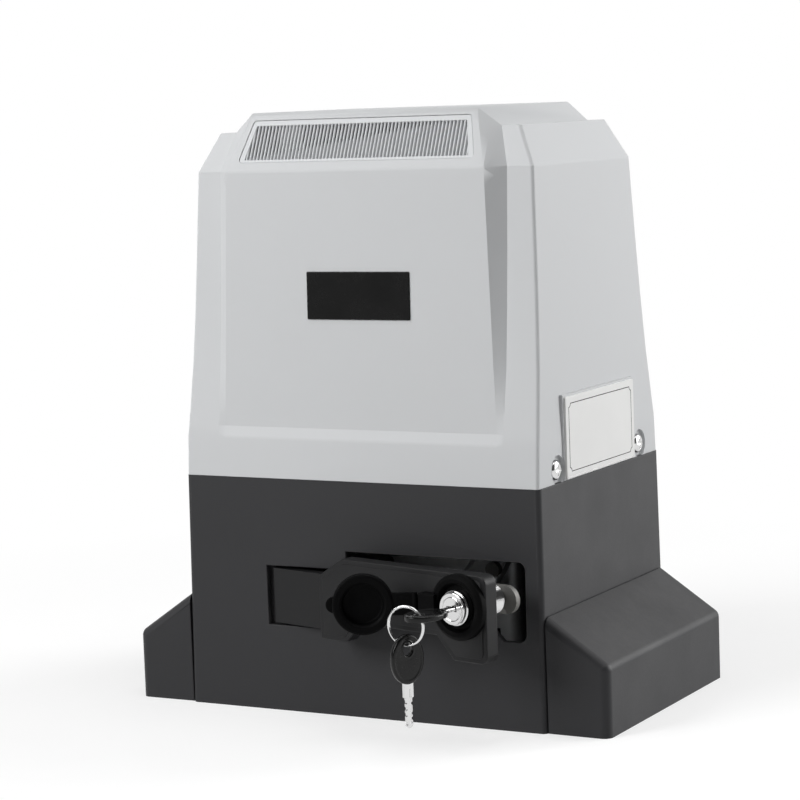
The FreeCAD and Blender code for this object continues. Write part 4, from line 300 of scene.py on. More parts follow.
UP = np.array([0, 0, 1.0])
ACROSS = np.array([1.0, 0, 0])
LEVER_OPEN = math.radians(13.5)
LEVER_ALONG = np.array([math.cos(LEVER_OPEN), -math.sin(LEVER_OPEN), 0])
LEVER_OUT = np.array([-math.sin(LEVER_OPEN), -math.cos(LEVER_OPEN), 0])
PIVOT = np.array([-50.0, -72.0, 0])
PLATE_FRONT = 16.6
LOCK_U = 141.5
LOCK_Z = 74.5
KEY_REACH = 40.4
CAP_HINGE_U = 115.4
CAP_HINGE_OUT = 6.5
BAND_FOOT = np.array([0, -75.0, 158.0])
BAND_TOP = np.array([0, -71.4, 298.5])
CROWN_EDGE = np.array([0, -57.0, 330.4])
BAND_SIDE_END = 299.5
HOOD_CORNER_X = 95.0
BADGE_X = 2.4
BADGE_Z = 230.8
SCREW_PLACE = (107.3, 54.0, 137.0)
WHISKER_FOOT = (25.0, 88.0, 162.8)


def lever_seat(u, depth, z):
    """On the open lever: x along it, y up, z outwards."""
    return seat(PIVOT + LEVER_ALONG * u + LEVER_OUT * depth + UP * z, LEVER_ALONG, LEVER_OUT)


# finishes

DUST_COLOUR = (0.30, 0.28, 0.25, 1)
PATTERN_OUTPUTS = [("Height", "Float"), ("Shade", "Float"), ("Gloss", "Float")]


def shared_group(name, inputs, outputs):
    """A node group with named inputs and outputs, empty so far."""
    tree = bpy.data.node_groups.new(name, "ShaderNodeTree")
    for label, kind, value in inputs:
        socket = tree.interface.new_socket(name=label, in_out="INPUT", socket_type="NodeSocket" + kind)
        if value is not None:
            socket.default_value = value
    for label, kind in outputs:
        tree.interface.new_socket(name=label, in_out="OUTPUT", socket_type="NodeSocket" + kind)
    return tree, tree.nodes.new("NodeGroupInput"), tree.nodes.new("NodeGroupOutput")


def add_node(tree, kind, values=None, **links):
    """A shader node with its settings, its input values and its links from other nodes' sockets."""
    node = tree.nodes.new("ShaderNode" + kind)
    for key, value in (values or {}).items():
        if isinstance(key, str) and hasattr(node, key):
            setattr(node, key, value)
        else:
            node.inputs[key].default_value = value
    for key, socket in links.items():
        key = int(key[1:]) if key[0] == "_" and key[1:].isdigit() else key.replace("_", " ")
        tree.links.new(socket, node.inputs[key])
    return node


def grain_group():
    """Fine grain over a slow mottle: height from both, shade from the mottle, gloss from the two together."""
    tree, entry, leave = shared_group(
        "moulded grain", [("Place", "Vector", None), ("Grain", "Float", 900.0), ("Mottle", "Float", 40.0)],
        PATTERN_OUTPUTS)
    fine = add_node(tree, "TexNoise", {"Detail": 3.0, "Roughness": 0.6}, Vector=entry.outputs["Place"],
                    Scale=entry.outputs["Grain"])
    pits = add_node(tree, "TexVoronoi", {"feature": "SMOOTH_F1", "Smoothness": 0.6},
                    Vector=entry.outputs["Place"], Scale=entry.outputs["Grain"])
    slow = add_node(tree, "TexNoise", {"Detail": 4.0, "Roughness": 0.55}, Vector=entry.outputs["Place"],
                    Scale=entry.outputs["Mottle"])
    height = add_node(tree, "Math", {"operation": "MULTIPLY_ADD", 1: 0.5}, _0=pits.outputs["Distance"],
                      _2=fine.outputs[0])
    gloss = add_node(tree, "Math", {"operation": "MULTIPLY_ADD", 1: 0.4}, _0=fine.outputs[0], _2=slow.outputs[0])
    tree.links.new(height.outputs[0], leave.inputs["Height"])
    tree.links.new(slow.outputs[0], leave.inputs["Shade"])
    tree.links.new(gloss.outputs[0], leave.inputs["Gloss"])


def tool_marks_group():
    """Fine lines left by a tool or a brush: a noise drawn out along the axis whose stretch is small."""
    tree, entry, leave = shared_group(
        "tool marks",
        [("Place", "Vector", None), ("Lines", "Float", 1500.0), ("Stretch", "Vector", (0.03, 1.0, 1.0))],
        PATTERN_OUTPUTS)
    drawn = add_node(tree, "VectorMath", {"operation": "MULTIPLY"}, _0=entry.outputs["Place"],
                     _1=entry.outputs["Stretch"])
    lines = add_node(tree, "TexNoise", {"Detail": 5.0, "Roughness": 0.7}, Vector=drawn.outputs[0],
                     Scale=entry.outputs["Lines"])
    slow = add_node(tree, "TexNoise", {"Detail": 2.0, "Scale": 60.0}, Vector=entry.outputs["Place"])
    gloss = add_node(tree, "Math", {"operation": "MULTIPLY_ADD", 1: 0.5}, _0=lines.outputs[0], _2=slow.outputs[0])
    tree.links.new(lines.outputs[0], leave.inputs["Height"])
    tree.links.new(slow.outputs[0], leave.inputs["Shade"])
    tree.links.new(gloss.outputs[0], leave.inputs["Gloss"])


def dust_group():
    """Dust that settles where a surface looks up: the normal's z past a threshold, broken up by noise."""
    tree, entry, leave = shared_group(
        "settled dust", [("Place", "Vector", None), ("Amount", "Float", 0.2)], [("Cover", "Float")])
    normal = tree.nodes.new("ShaderNodeNewGeometry")
    parts = add_node(tree, "SeparateXYZ", Vector=normal.outputs["Normal"])
    facing = add_node(tree, "MapRange", {"From Min": 0.35, "From Max": 0.95}, Value=parts.outputs["Z"])
    patch = add_node(tree, "TexNoise", {"Scale": 160.0, "Detail": 5.0, "Roughness": 0.7},
                     Vector=entry.outputs["Place"])
    broken = add_node(tree, "MapRange", {"From Min": 0.35, "From Max": 0.75}, Value=patch.outputs[0])
    both = add_node(tree, "Math", {"operation": "MULTIPLY"}, _0=facing.outputs[0], _1=broken.outputs[0])
    cover = add_node(tree, "Math", {"operation": "MULTIPLY"}, _0=both.outputs[0], _1=entry.outputs["Amount"])
    tree.links.new(cover.outputs[0], leave.inputs["Cover"])


def place_group(tree, name, place, values):
    """One of the shared groups in a material, with the material's own values."""
    group = tree.nodes.new("ShaderNodeGroup")
    group.node_tree = bpy.data.node_groups[name]
    tree.links.new(place, group.inputs["Place"])
    for key, value in values.items():
        group.inputs[key].default_value = value
    return group


def mix_finish(name, base, rough, pattern, values, shade, bump, depth, metal=0.0, specular=0.5, dust=0.0, tint=None):
    """A finish: a shared pattern varies its colour by the shade share, its roughness from low to high, and its
    relief by a depth in millimetres."""
    material = bpy.data.materials.new("finish_" + name)
    material.use_nodes = True
    tree = material.node_tree
    shader = tree.nodes["Principled BSDF"]
    place = tree.nodes.new("ShaderNodeTexCoord").outputs["Object"]
    group = place_group(tree, pattern, place, values)
    dark = [channel * (1 - shade) for channel in base] + [1]
    light = [min(channel * (1 + shade), 1) for channel in (tint or base)] + [1]
    tone = add_node(tree, "Mix", {"data_type": "RGBA", 6: dark, 7: light}, _0=group.outputs["Shade"])
    colour_out = tone.outputs[2]
    gloss = add_node(tree, "MapRange", {"From Min": 0.35, "From Max": 1.05, "To Min": rough[0], "To Max": rough[1]},
                     Value=group.outputs["Gloss"])
    if dust:
        settled = place_group(tree, "settled dust", place, {"Amount": dust})
        dusty = add_node(tree, "Mix", {"data_type": "RGBA", 7: DUST_COLOUR}, _0=settled.outputs["Cover"],
                         _6=colour_out)
        colour_out = dusty.outputs[2]
    relief = add_node(tree, "Bump", {"Strength": bump, "Distance": depth * MM}, Height=group.outputs["Height"])
    tree.links.new(colour_out, shader.inputs["Base Color"])
    tree.links.new(gloss.outputs[0], shader.inputs["Roughness"])
    tree.links.new(relief.outputs[0], shader.inputs["Normal"])
    shader.inputs["Metallic"].default_value = metal
    shader.inputs["Specular IOR Level"].default_value = specular
    material.diffuse_color = (*base, 1)


# how much of its plain colour each finish keeps under the studio's light

COLOUR_SHARES = {"housing_black": 0.74, "lever_black": 0.36, "rubber_black": 0.14, "badge_black": 0.3,
                 "key_black": 0.2, "vent_silver": 1.2, "steel": 0.75, "zinc": 0.5, "chrome": 0.85}


def moulded(grain, mottle, **rest):
    """A recipe for plastic, rubber, lacquer or a casting."""
    return dict(rest, pattern="moulded grain", values={"Grain": grain, "Mottle": mottle})


def tooled(lines, stretch=(0.03, 1.0, 1.0), **rest):
    """A recipe for a brushed, turned, wound or plated surface."""
    return dict(rest, pattern="tool marks", values={"Lines": lines, "Stretch": stretch})


RECIPES = {
    "housing_black": moulded(1100.0, 25.0, rough=(0.42, 0.62), shade=0.10, bump=0.5, depth=0.05, specular=0.3,
                             dust=0.04),
    "lever_black": moulded(1300.0, 60.0, rough=(0.36, 0.55), shade=0.15, bump=0.4, depth=0.04, specular=0.25),
    "hood_silver": moulded(2200.0, 14.0, rough=(0.48, 0.60), shade=0.02, bump=0.25, depth=0.02, specular=0.25),
    "vent_silver": moulded(2200.0, 30.0, rough=(0.38, 0.50), shade=0.03, bump=0.25, depth=0.02, specular=0.35),
    "rubber_black": moulded(1600.0, 120.0, rough=(0.48, 0.70), shade=0.3, bump=0.4, depth=0.04, specular=0.06),
    "key_black": moulded(900.0, 150.0, rough=(0.16, 0.34), shade=0.2, bump=0.2, depth=0.03, specular=0.3),
    "chrome": tooled(1800.0, rough=(0.05, 0.16), shade=0.04, bump=0.1, depth=0.01, metal=1.0),
    "zinc": tooled(700.0, rough=(0.55, 0.75), shade=0.12, bump=0.3, depth=0.02, metal=1.0,
                   tint=(0.18, 0.175, 0.16)),
    "steel": tooled(2400.0, (1.0, 1.0, 0.04), rough=(0.24, 0.42), shade=0.08, bump=0.2, depth=0.02, metal=1.0),
    "bronze": tooled(1600.0, (1.0, 0.05, 1.0), rough=(0.28, 0.46), shade=0.12, bump=0.2, depth=0.02, metal=1.0),
    "cast_aluminium": moulded(700.0, 50.0, rough=(0.45, 0.65), shade=0.12, bump=0.6, depth=0.12, metal=0.9),
    "winding": tooled(1400.0, (1.0, 1.0, 0.1), rough=(0.25, 0.45), shade=0.3, bump=0.8, depth=0.2, metal=0.7),
    "board": tooled(500.0, (1.0, 0.05, 1.0), rough=(0.25, 0.45), shade=0.3, bump=0.2, depth=0.03),
    "capacitor_white": moulded(600.0, 40.0, rough=(0.25, 0.40), shade=0.03, bump=0.1, depth=0.03),
    "badge_black": moulded(500.0, 60.0, rough=(0.20, 0.32), shade=0.2, bump=0.05, depth=0.02, specular=0.2),
    "plate_white": tooled(2600.0, rough=(0.26, 0.40), shade=0.03, bump=0.08, depth=0.01),
}


class GATEMOTOR_OT_finishes(Operator):
    """Mix the finishes and give each of them to its pieces of the fixed frame"""
    bl_idname = "gate_motor.mix_finishes"
    bl_label = "Finishes"

    def execute(self, context):
        shells = context.scene.gate_motor_shells
        grain_group()
        tool_marks_group()
        dust_group()
        colours = {slot: tuple(value) for slot, value in SLOT_COLOUR.items()}
        colours["hood_silver"] = tuple(shells.hood_colour)
        colours["housing_black"] = tuple(shells.housing_colour)
        colours["lever_black"] = tuple(shells.lever_colour)
        for slot, share in COLOUR_SHARES.items():
            colours[slot] = tuple(channel * share for channel in colours[slot])
        for slot, recipe in RECIPES.items():
            mix_finish(slot, colours[slot], **recipe)
        for name, node in frame["nodes"].items():
            node.data.materials.clear()
            node.data.materials.append(bpy.data.materials["finish_" + SLOT_OF[name]])
        return {"FINISHED"}


# the stage in metres, and how strongly the floor and the dark end of the room shine

LAMP_SIZE = 1.2
LAMP_PLACES = {"front": (-1.15, -1.75, 1.25), "side": (1.5, 1.25, 0.75), "top": (0.45, -0.15, 2.1)}
FLOOR_REACH = 8.0
WHITE_FROM = 0.24
WHITE_AT = 0.62
FLOOR_LIFT = 0.54
DARK_ROOM = 0.05


def white_rays(tree):
    """1 for the rays that see the background: from the camera, by gloss and through glass."""
    rays = tree.nodes.new("ShaderNodeLightPath")
    first = add_node(tree, "Math", {"operation": "MAXIMUM"}, _0=rays.outputs["Is Camera Ray"],
                     _1=rays.outputs["Is Glossy Ray"])
    return add_node(tree, "Math", {"operation": "MAXIMUM"}, _0=first.outputs[0],
                    _1=rays.outputs["Is Transmission Ray"]).outputs[0]


class GATEMOTOR_OT_studio(Operator):
    """Set the camera, the pale floor, the white surroundings and the soft lamps"""
    bl_idname = "gate_motor.set_studio"
    bl_label = "Studio"

    def execute(self, context):
        scene = context.scene
        studio = scene.gate_motor_studio
        self.add_camera(scene, studio)
        scene.view_settings.view_transform = "Standard"
        self.add_floor(scene)
        self.add_surroundings(scene, studio.fill)
        for name, place in LAMP_PLACES.items():
            lamp = bpy.data.objects.new(name + " lamp", bpy.data.lights.new(name + " lamp", "AREA"))
            scene.collection.objects.link(lamp)
            lamp.data.shape = "SQUARE"
            lamp.data.size = LAMP_SIZE
            lamp.data.energy = getattr(studio, name)
            lamp.location = place
            lamp.rotation_euler = (Vector(place) - Vector(studio.target)).to_track_quat("Z", "Y").to_euler()
        return {"FINISHED"}

    def add_camera(self, scene, studio):
        """Looks back along the sight line, from the target round by the turn and up by the rise."""
        sight = Vector((math.sin(studio.turn) * math.cos(studio.rise), -math.cos(studio.turn) * math.cos(studio.rise),
                        math.sin(studio.rise)))
        camera = bpy.data.objects.new("camera", bpy.data.cameras.new("camera"))
        scene.collection.objects.link(camera)
        camera.data.sensor_width = 36.0
        camera.data.lens = studio.lens
        camera.data.clip_end = 50.0
        right = Vector(UP).cross(sight).normalized()
        above = sight.cross(right)
        turned_right = right * math.cos(studio.tilt) + above * math.sin(studio.tilt)
        turned_above = above * math.cos(studio.tilt) - right * math.sin(studio.tilt)
        axes = Matrix((turned_right, turned_above, sight)).transposed().to_4x4()
        camera.matrix_world = Matrix.Translation(Vector(studio.target) + sight * studio.distance) @ axes
        scene.camera = camera

    def add_floor(self, scene):
        """A square whose paper tone turns to plain white some way out, and which keeps the shadow near it."""
        mesh = bpy.data.meshes.new("floor")
        corners = [(-1, -1), (1, -1), (1, 1), (-1, 1)]
        mesh.from_pydata([(x * FLOOR_REACH, y * FLOOR_REACH, 0) for x, y in corners], [], [(0, 1, 2, 3)])
        floor = bpy.data.objects.new("floor", mesh)
        scene.collection.objects.link(floor)
        material = bpy.data.materials.new("pale_floor")
        material.use_nodes = True
        tree = material.node_tree
        shader = tree.nodes["Principled BSDF"]
        shader.inputs["Roughness"].default_value = 1.0
        shader.inputs["Specular IOR Level"].default_value = 0.0
        place = tree.nodes.new("ShaderNodeTexCoord").outputs["Object"]
        paper = add_node(tree, "TexNoise", {"Scale": 30.0, "Detail": 3.0}, Vector=place)
        tone = add_node(tree, "Mix", {"data_type": "RGBA", 6: (0.49, 0.49, 0.49, 1), 7: (0.51, 0.51, 0.51, 1)},
                        _0=paper.outputs[0])
        tree.links.new(tone.outputs[2], shader.inputs["Base Color"])
        seen = white_rays(tree)
        glow = add_node(tree, "Emission", {"Color": (1, 1, 1, 1)})
        lift = add_node(tree, "Math", {"operation": "MULTIPLY", 1: FLOOR_LIFT}, _0=seen)
        tree.links.new(lift.outputs[0], glow.inputs["Strength"])
        near = tree.nodes.new("ShaderNodeAddShader")
        tree.links.new(shader.outputs[0], near.inputs[0])
        tree.links.new(glow.outputs[0], near.inputs[1])
        far = add_node(tree, "Emission", {"Color": (1, 1, 1, 1), "Strength": 1.0})
        away = add_node(tree, "VectorMath", {"operation": "LENGTH"}, _0=place)
        fade = add_node(tree, "MapRange", {"From Min": WHITE_FROM, "From Max": WHITE_AT}, Value=away.outputs["Value"])
        white = add_node(tree, "Math", {"operation": "MULTIPLY"}, _0=fade.outputs[0], _1=seen)
        both = add_node(tree, "MixShader", _0=white.outputs[0], _1=near.outputs[0], _2=far.outputs[0])
        tree.links.new(both.outputs[0], tree.nodes["Material Output"].inputs["Surface"])
        mesh.materials.append(material)

    def add_surroundings(self, scene, fill):
        """White to the camera, darker towards the front for what gloss sees, and the fill for all other rays."""
        world = bpy.data.worlds.new("surroundings")
        world.use_nodes = True
        tree = world.node_tree
        back = tree.nodes["Background"]
        back.inputs["Color"].default_value = (1, 1, 1, 1)
        side = add_node(tree, "SeparateXYZ", Vector=tree.nodes.new("ShaderNodeTexCoord").outputs["Generated"])
        room = add_node(tree, "MapRange", {"From Min": -0.25, "From Max": 0.3, "To Min": DARK_ROOM},
                        Value=side.outputs["Y"])
        camera = tree.nodes.new("ShaderNodeLightPath").outputs["Is Camera Ray"]
        white = add_node(tree, "Math", {"operation": "MAXIMUM"}, _0=room.outputs[0], _1=camera)
        level = add_node(tree, "MapRange", {"To Min": fill}, Value=white_rays(tree))
        tree.links.new(white.outputs[0], level.inputs["To Max"])
        tree.links.new(level.outputs[0], back.inputs["Strength"])
        scene.world = world


class GATEMOTOR_OT_shells(Operator):
    """Soften the crests of the hood, housing, foot covers and lever, and the edges of the cam, catch and nut"""
    bl_idname = "gate_motor.soften_shells"
    bl_label = "Hood, housing and lever"

    def execute(self, context):
        shells = context.scene.gate_motor_shells
        soften_node("hood", "hood_shell", shells.crest, 20.0, least=9.0, flat=8.0, join=0.1, crisp=self.band_side,
                    corner=HOOD_CORNER_X * MM)
        for node, name, shortest in (("lower_housing", "housing_shell", 9.0),
                                     ("foot_cover_left", "foot_shell_left", 12.0),
                                     ("foot_cover_right", "foot_shell_right", 12.0),
                                     ("release_lever", "lever_shell", 6.0)):
            soften_node(node, name, shells.corner, shortest)
        for node, name in (("lock_cam", "cam_plate"), ("lock_catch", "catch_plate"), ("lock_nut", "barrel_nut")):
            soften_node(node, name, shells.small_edge, 2.0)
        return {"FINISHED"}

    def band_side(self, edge):
        """The upright sides of the centre band, which end at its slant."""
        start, end = (vertex.co for vertex in edge.verts)
        upright = abs(start.z - end.z) > 0.8 * (start - end).length
        return upright and max(start.z, end.z) < BAND_SIDE_END * MM


class GATEMOTOR_OT_vents(Operator):
    """Build the two vent grilles: a rounded frame and upright slats with round noses"""
    bl_idname = "gate_motor.build_vents"
    bl_label = "Vent grilles"

    def execute(self, context):
        shells = context.scene.gate_motor_shells
        slope = unit(CROWN_EDGE - BAND_TOP)
        out = np.cross(ACROSS, slope)
        mirror = np.array([-1.0, -1.0, 1.0])
        for side, where in (("front", seat(BAND_TOP, ACROSS, out)),
                            ("rear", seat(BAND_TOP * mirror, -ACROSS, out * mirror))):
            node = side + "_vent_grille"
            make_piece(side + "_vent_frame", [self.frame(where)], "vent_silver", "chassis", node)
            make_piece(side + "_vent_slats", [self.slats(where, shells.slat_nose / MM, shells.slat_pitch / MM)],
                       "vent_silver", "chassis", node)
        return {"FINISHED"}

    def frame(self, where):
        """Rings round the opening: up the outer edge, over the rim, down the inner wall and back."""
        def ring(low, high, half_low, half_high, radius):
            return eased_line([(-half_low, low), (half_low, low), (half_high, high), (-half_high, high)],
                              [radius] * 4, 9)
        rim = ring(5.35, 30.35, 73.05, 67.35, 2.4)
        soft = ring(5.65, 30.05, 72.7, 67.0, 2.1)
        lip = ring(6.9, 27.5, 69.4, 65.2, 0.6)
        inner = ring(7.1, 27.3, 69.2, 65.0, 0.5)
        wall = ring(5.95, 28.35, 70.5, 66.1, 0.6)
        outlines = [rim, rim, soft, lip, inner, inner, wall, wall]
        back, edge, face, chamfer, deep = -1.6, -0.6, -0.3, -0.5, -4.6
        heights = [back, edge, face, face, chamfer, deep, deep, back]
        return lofted(outlines, heights, where, closed=True)

    def slats(self, where, width, pitch):
        """Slat n stands at x = n pitch. Its section is a bar with a half-round nose, and the opening's slanting
        sides cut it off."""
        half_wide, low, high_middle, slant_from, slant = 69.5, 6.4, 27.9, 65.6, 5.1
        deep, top = -4.5, -0.56
        count = int(half_wide / pitch)
        centre = np.arange(-count, count + 1) * pitch
        high = np.minimum(high_middle, high_middle - (np.abs(centre) - slant_from) * slant)
        nose = np.linspace(0, np.pi, 7)
        section_x = np.concatenate([[width / 2], width / 2 * np.cos(nose), [-width / 2]])
        section_z = np.concatenate([[deep], top - width / 2 + width / 2 * np.sin(nose), [deep]])
        ends = np.stack([np.full(len(centre), low)] * 2 + [high] * 2, 1)
        share = np.array([0.0, 1.0, 1.0, 0.0])[None, :, None]
        middle = (deep + top) / 2
        points = np.empty((len(centre), 4, len(section_x), 3))
        points[..., 0] = centre[:, None, None] + section_x * share
        points[..., 1] = ends[:, :, None]
        points[..., 2] = middle + (section_z - middle) * share
        one, quads = net(points[0])
        quads = (quads[None] + np.arange(len(centre))[:, None, None] * len(one)).reshape(-1, 4)
        return put(points, where).reshape(-1, 3), quads


class GATEMOTOR_OT_plates(Operator):
    """Build the bare badge and the bare rating plate with its border and lower bead"""
    bl_idname = "gate_motor.build_plates"
    bl_label = "Badge and rating plate"

    def execute(self, context):
        fittings = context.scene.gate_motor_fittings
        rise = unit(BAND_TOP - BAND_FOOT)
        middle = BAND_FOOT + rise * (BADGE_Z - BAND_FOOT[2]) / rise[2] + ACROSS * BADGE_X
        where = seat(middle, ACROSS, np.cross(ACROSS, rise))
        half_long, half_high, thick, corner = 31.75, 13.0, 0.8, 0.6
        outline = rounded_box(half_long, half_high, corner)
        make_piece("badge_plate", [slab(outline, thick, fittings.badge_edge / MM, where)], "badge_black", "chassis",
                   "badge")
        low, high = (np.array(corner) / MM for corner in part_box("rating_plate"))
        half_y, half_z = (high[1] - low[1]) / 2, (high[2] - low[2]) / 2
        where = seat([low[0], (low[1] + high[1]) / 2, (low[2] + high[2]) / 2], (0, 1, 0), (1, 0, 0))
        self.rating_plate(where, half_y, half_z, fittings.border / MM)
        return {"FINISHED"}

    def rating_plate(self, where, half_y, half_z, width):
        """A bare slab, a bar of the given width along its border line, and a round bead along its lower edge."""
        corner, thick, edge = 1.2, 1.1, 0.3
        make_piece("rating_face", [slab(rounded_box(half_y, half_z, corner), thick, edge, where)], "plate_white",
                   "chassis", "rating_plate")
        margin, notch, sunk, proud = 3.6, 2.2, 1.05, 1.14
        line = self.notched(half_y - margin, half_z - margin, notch)
        outlines = [line, drawn_in(line, width), drawn_in(line, width), line]
        make_piece("rating_border", [lofted(outlines, [sunk, sunk, proud, proud], where, closed=True)],
                   "badge_black", "chassis")
        radius, short, rise, out, count = 0.55, 1.4, 0.7, 0.62, 24
        path = np.column_stack([np.linspace(-half_y + short, half_y - short, count), np.full(count, -half_z + rise),
                                np.full(count, out)])
        make_piece("rating_bead", [net(put(swept(path, oval(20, radius, radius), UP), where))], "chrome", "chassis")

    def notched(self, half_x, half_y, notch):
        """A rectangle whose corners are hollow quarter rounds about the corner points."""
        corners = np.array([(half_x, half_y), (-half_x, half_y), (-half_x, -half_y), (half_x, -half_y)])
        start = np.array([1.5, 2.0, 0.5, 1.0])[:, None] * np.pi
        turn = start - np.linspace(0, np.pi / 2, 9)
        arcs = corners[:, None] + notch * np.stack([np.cos(turn), np.sin(turn)], -1)
        return arcs.reshape(-1, 2)


class GATEMOTOR_OT_screws(Operator):
    """Build the four chromed pan-head screws of the hood"""
    bl_idname = "gate_motor.build_screws"
    bl_label = "Hood screws"

    def execute(self, context):
        fittings = context.scene.gate_motor_fittings
        x, y, z = SCREW_PLACE
        for number, (side, end) in enumerate(((-1, -1), (-1, 1), (1, -1), (1, 1)), 1):
            where = seat((side * x, end * y, z), (0, side, 0), (side, 0, 0))
            make_piece(f"pan_screw_{number}", [self.pan(where, fittings.screw_cross / MM)], "chrome", "chassis",
                       f"hood_screw_{number}", sharp=50)
        return {"FINISHED"}

    def pan(self, where, cross):
        """A dome h = thick (1 - (r/R)^4)^1/2 with a cross sunk into it, deepest at its middle."""
        radius, thick, shank, shank_end, tip = 5.5, 2.6, 2.0, 8.4, 8.7
        half, arm, soft, sunk, fall = cross / 2, 2.9, 0.16, 1.7, 0.35
        share = np.sin(np.linspace(0, np.pi / 2, 34))[:, None]
        angle = full_turn(112)[None, :]
        x, y = radius * share * np.cos(angle), radius * share * np.sin(angle)
        dome = thick * np.sqrt(np.maximum(1 - share ** 4, 0)) + 0 * angle
        bars = [(1 - ease(half - soft, half + soft, np.abs(a))) * (1 - ease(arm - soft, arm + soft, np.abs(b)))
                for a, b in ((x, y), (y, x))]
        depth = sunk - fall * radius * share
        height = dome - np.maximum(bars[0], bars[1]) * depth
        top = np.stack([x, y, height], -1)
        foot = np.stack([x[-1], y[-1], 0 * x[-1]], -1)[None]
        neck = foot * [shank / radius, shank / radius, 1]
        rows = [top, foot, neck, neck - [0, 0, shank_end], foot * 0 - [0, 0, tip]]
        return net(put(np.concatenate(rows), where))


class GATEMOTOR_OT_whisker(Operator):
    """Build the limit switch's whisker: a rod with a spring round it, on a barrel that turns in its socket"""
    bl_idname = "gate_motor.build_whisker"
    bl_label = "Limit whisker"

    def execute(self, context):
        where = seat(WHISKER_FOOT, ACROSS, UP)
        collar, core, collar_end, cap_from, top = 2.5, 1.4, 3.4, 46.8, 50.0
        rod = eased_line([(0.0, 0.0), (collar, 0.0), (collar, collar_end), (core, collar_end), (core, cap_from),
                          (collar, cap_from), (collar, top), (0.0, top)], [0, 0.2, 0.5, 0, 0, 0.4, 1.8, 0])
        half = 3.5
        foot = eased_line([(0.0, -half), (collar, -half), (collar, half), (0.0, half)], [0, 0.4, 0.4, 0])
        make_piece("spring_whisker", [turned(rod, where, 32), turned(foot, seat(where[0], ACROSS, (0, 1, 0)), 32),
                                      self.spring(where)], "steel", "whisker", "limit_whisker")
        return {"FINISHED"}

    def spring(self, where):
        """A wire carried up a helix: (r cos a, r sin a, z + pitch a / 2 pi)."""
        turns, radius, wire, low, tall = 31, 1.95, 0.56, 3.9, 42.4
        angle = np.linspace(0, 2 * np.pi * turns, turns * 18)
        path = np.column_stack([radius * np.cos(angle), radius * np.sin(angle), low + tall * angle / angle[-1]])
        return net(put(swept(path, oval(8, wire, wire), UP), where))


class GATEMOTOR_OT_panel(Operator):
    """Build the raised panel that follows the release lever's outline"""
    bl_idname = "gate_motor.build_panel"
    bl_label = "Lever panel"

    def execute(self, context):
        make_piece("lever_panel", [self.panel(lever_seat(0.0, PLATE_FRONT, 0.0))], "lever_black", "lever", sharp=25)
        return {"FINISHED"}

    def panel(self, where):
        """Between a low and a high line along the lever: the section at u is a bar with eased upper edges."""
        edge, lift, bottom, corner = 0.35, 0.3, -0.6, 3.2
        left, right = 42.6, 155.7
        low_knots = [57.9, 68.9, 125.1, 136.6]
        high_knot = 58.1
        low_line = [49.1, 49.1, 60.1, 60.1, 48.0, 48.0]
        high_line = [79.75, 89.1, 89.1]
        end = right - corner * np.cos(np.linspace(0, np.pi / 2, 9))
        u = np.sort(np.concatenate([[left, high_knot], low_knots, end]))
        fall = corner - np.sqrt(np.clip(corner ** 2 - np.clip(u - (right - corner), 0, corner) ** 2, 0, None))
        low = np.interp(u, [left, *low_knots, right], low_line) + fall
        high = np.interp(u, [left, high_knot, right], high_line) - fall
        turn = np.linspace(0, np.pi / 2, 4)
        inset = edge * (1 - np.cos(turn))
        climb = lift - edge + edge * np.sin(turn)
        rise = np.concatenate([[bottom], climb, climb[::-1], [bottom]])
        low_side = low[:, None] + np.concatenate([[0.0], inset])
        high_side = high[:, None] - np.concatenate([inset[::-1], [0.0]])
        z = np.concatenate([low_side, high_side], 1)
        points = np.stack([np.repeat(u[:, None], z.shape[1], 1), z, np.repeat(rise[None], len(u), 0)], -1)
        points[0, :, 0] += edge * (rise > climb[1])
        ends = [np.repeat([[[u[i], (low[i] + high[i]) / 2, (bottom + lift) / 2]]], z.shape[1], 1) for i in (0, -1)]
        return net(put(np.concatenate([ends[0], points, ends[1]]), where))


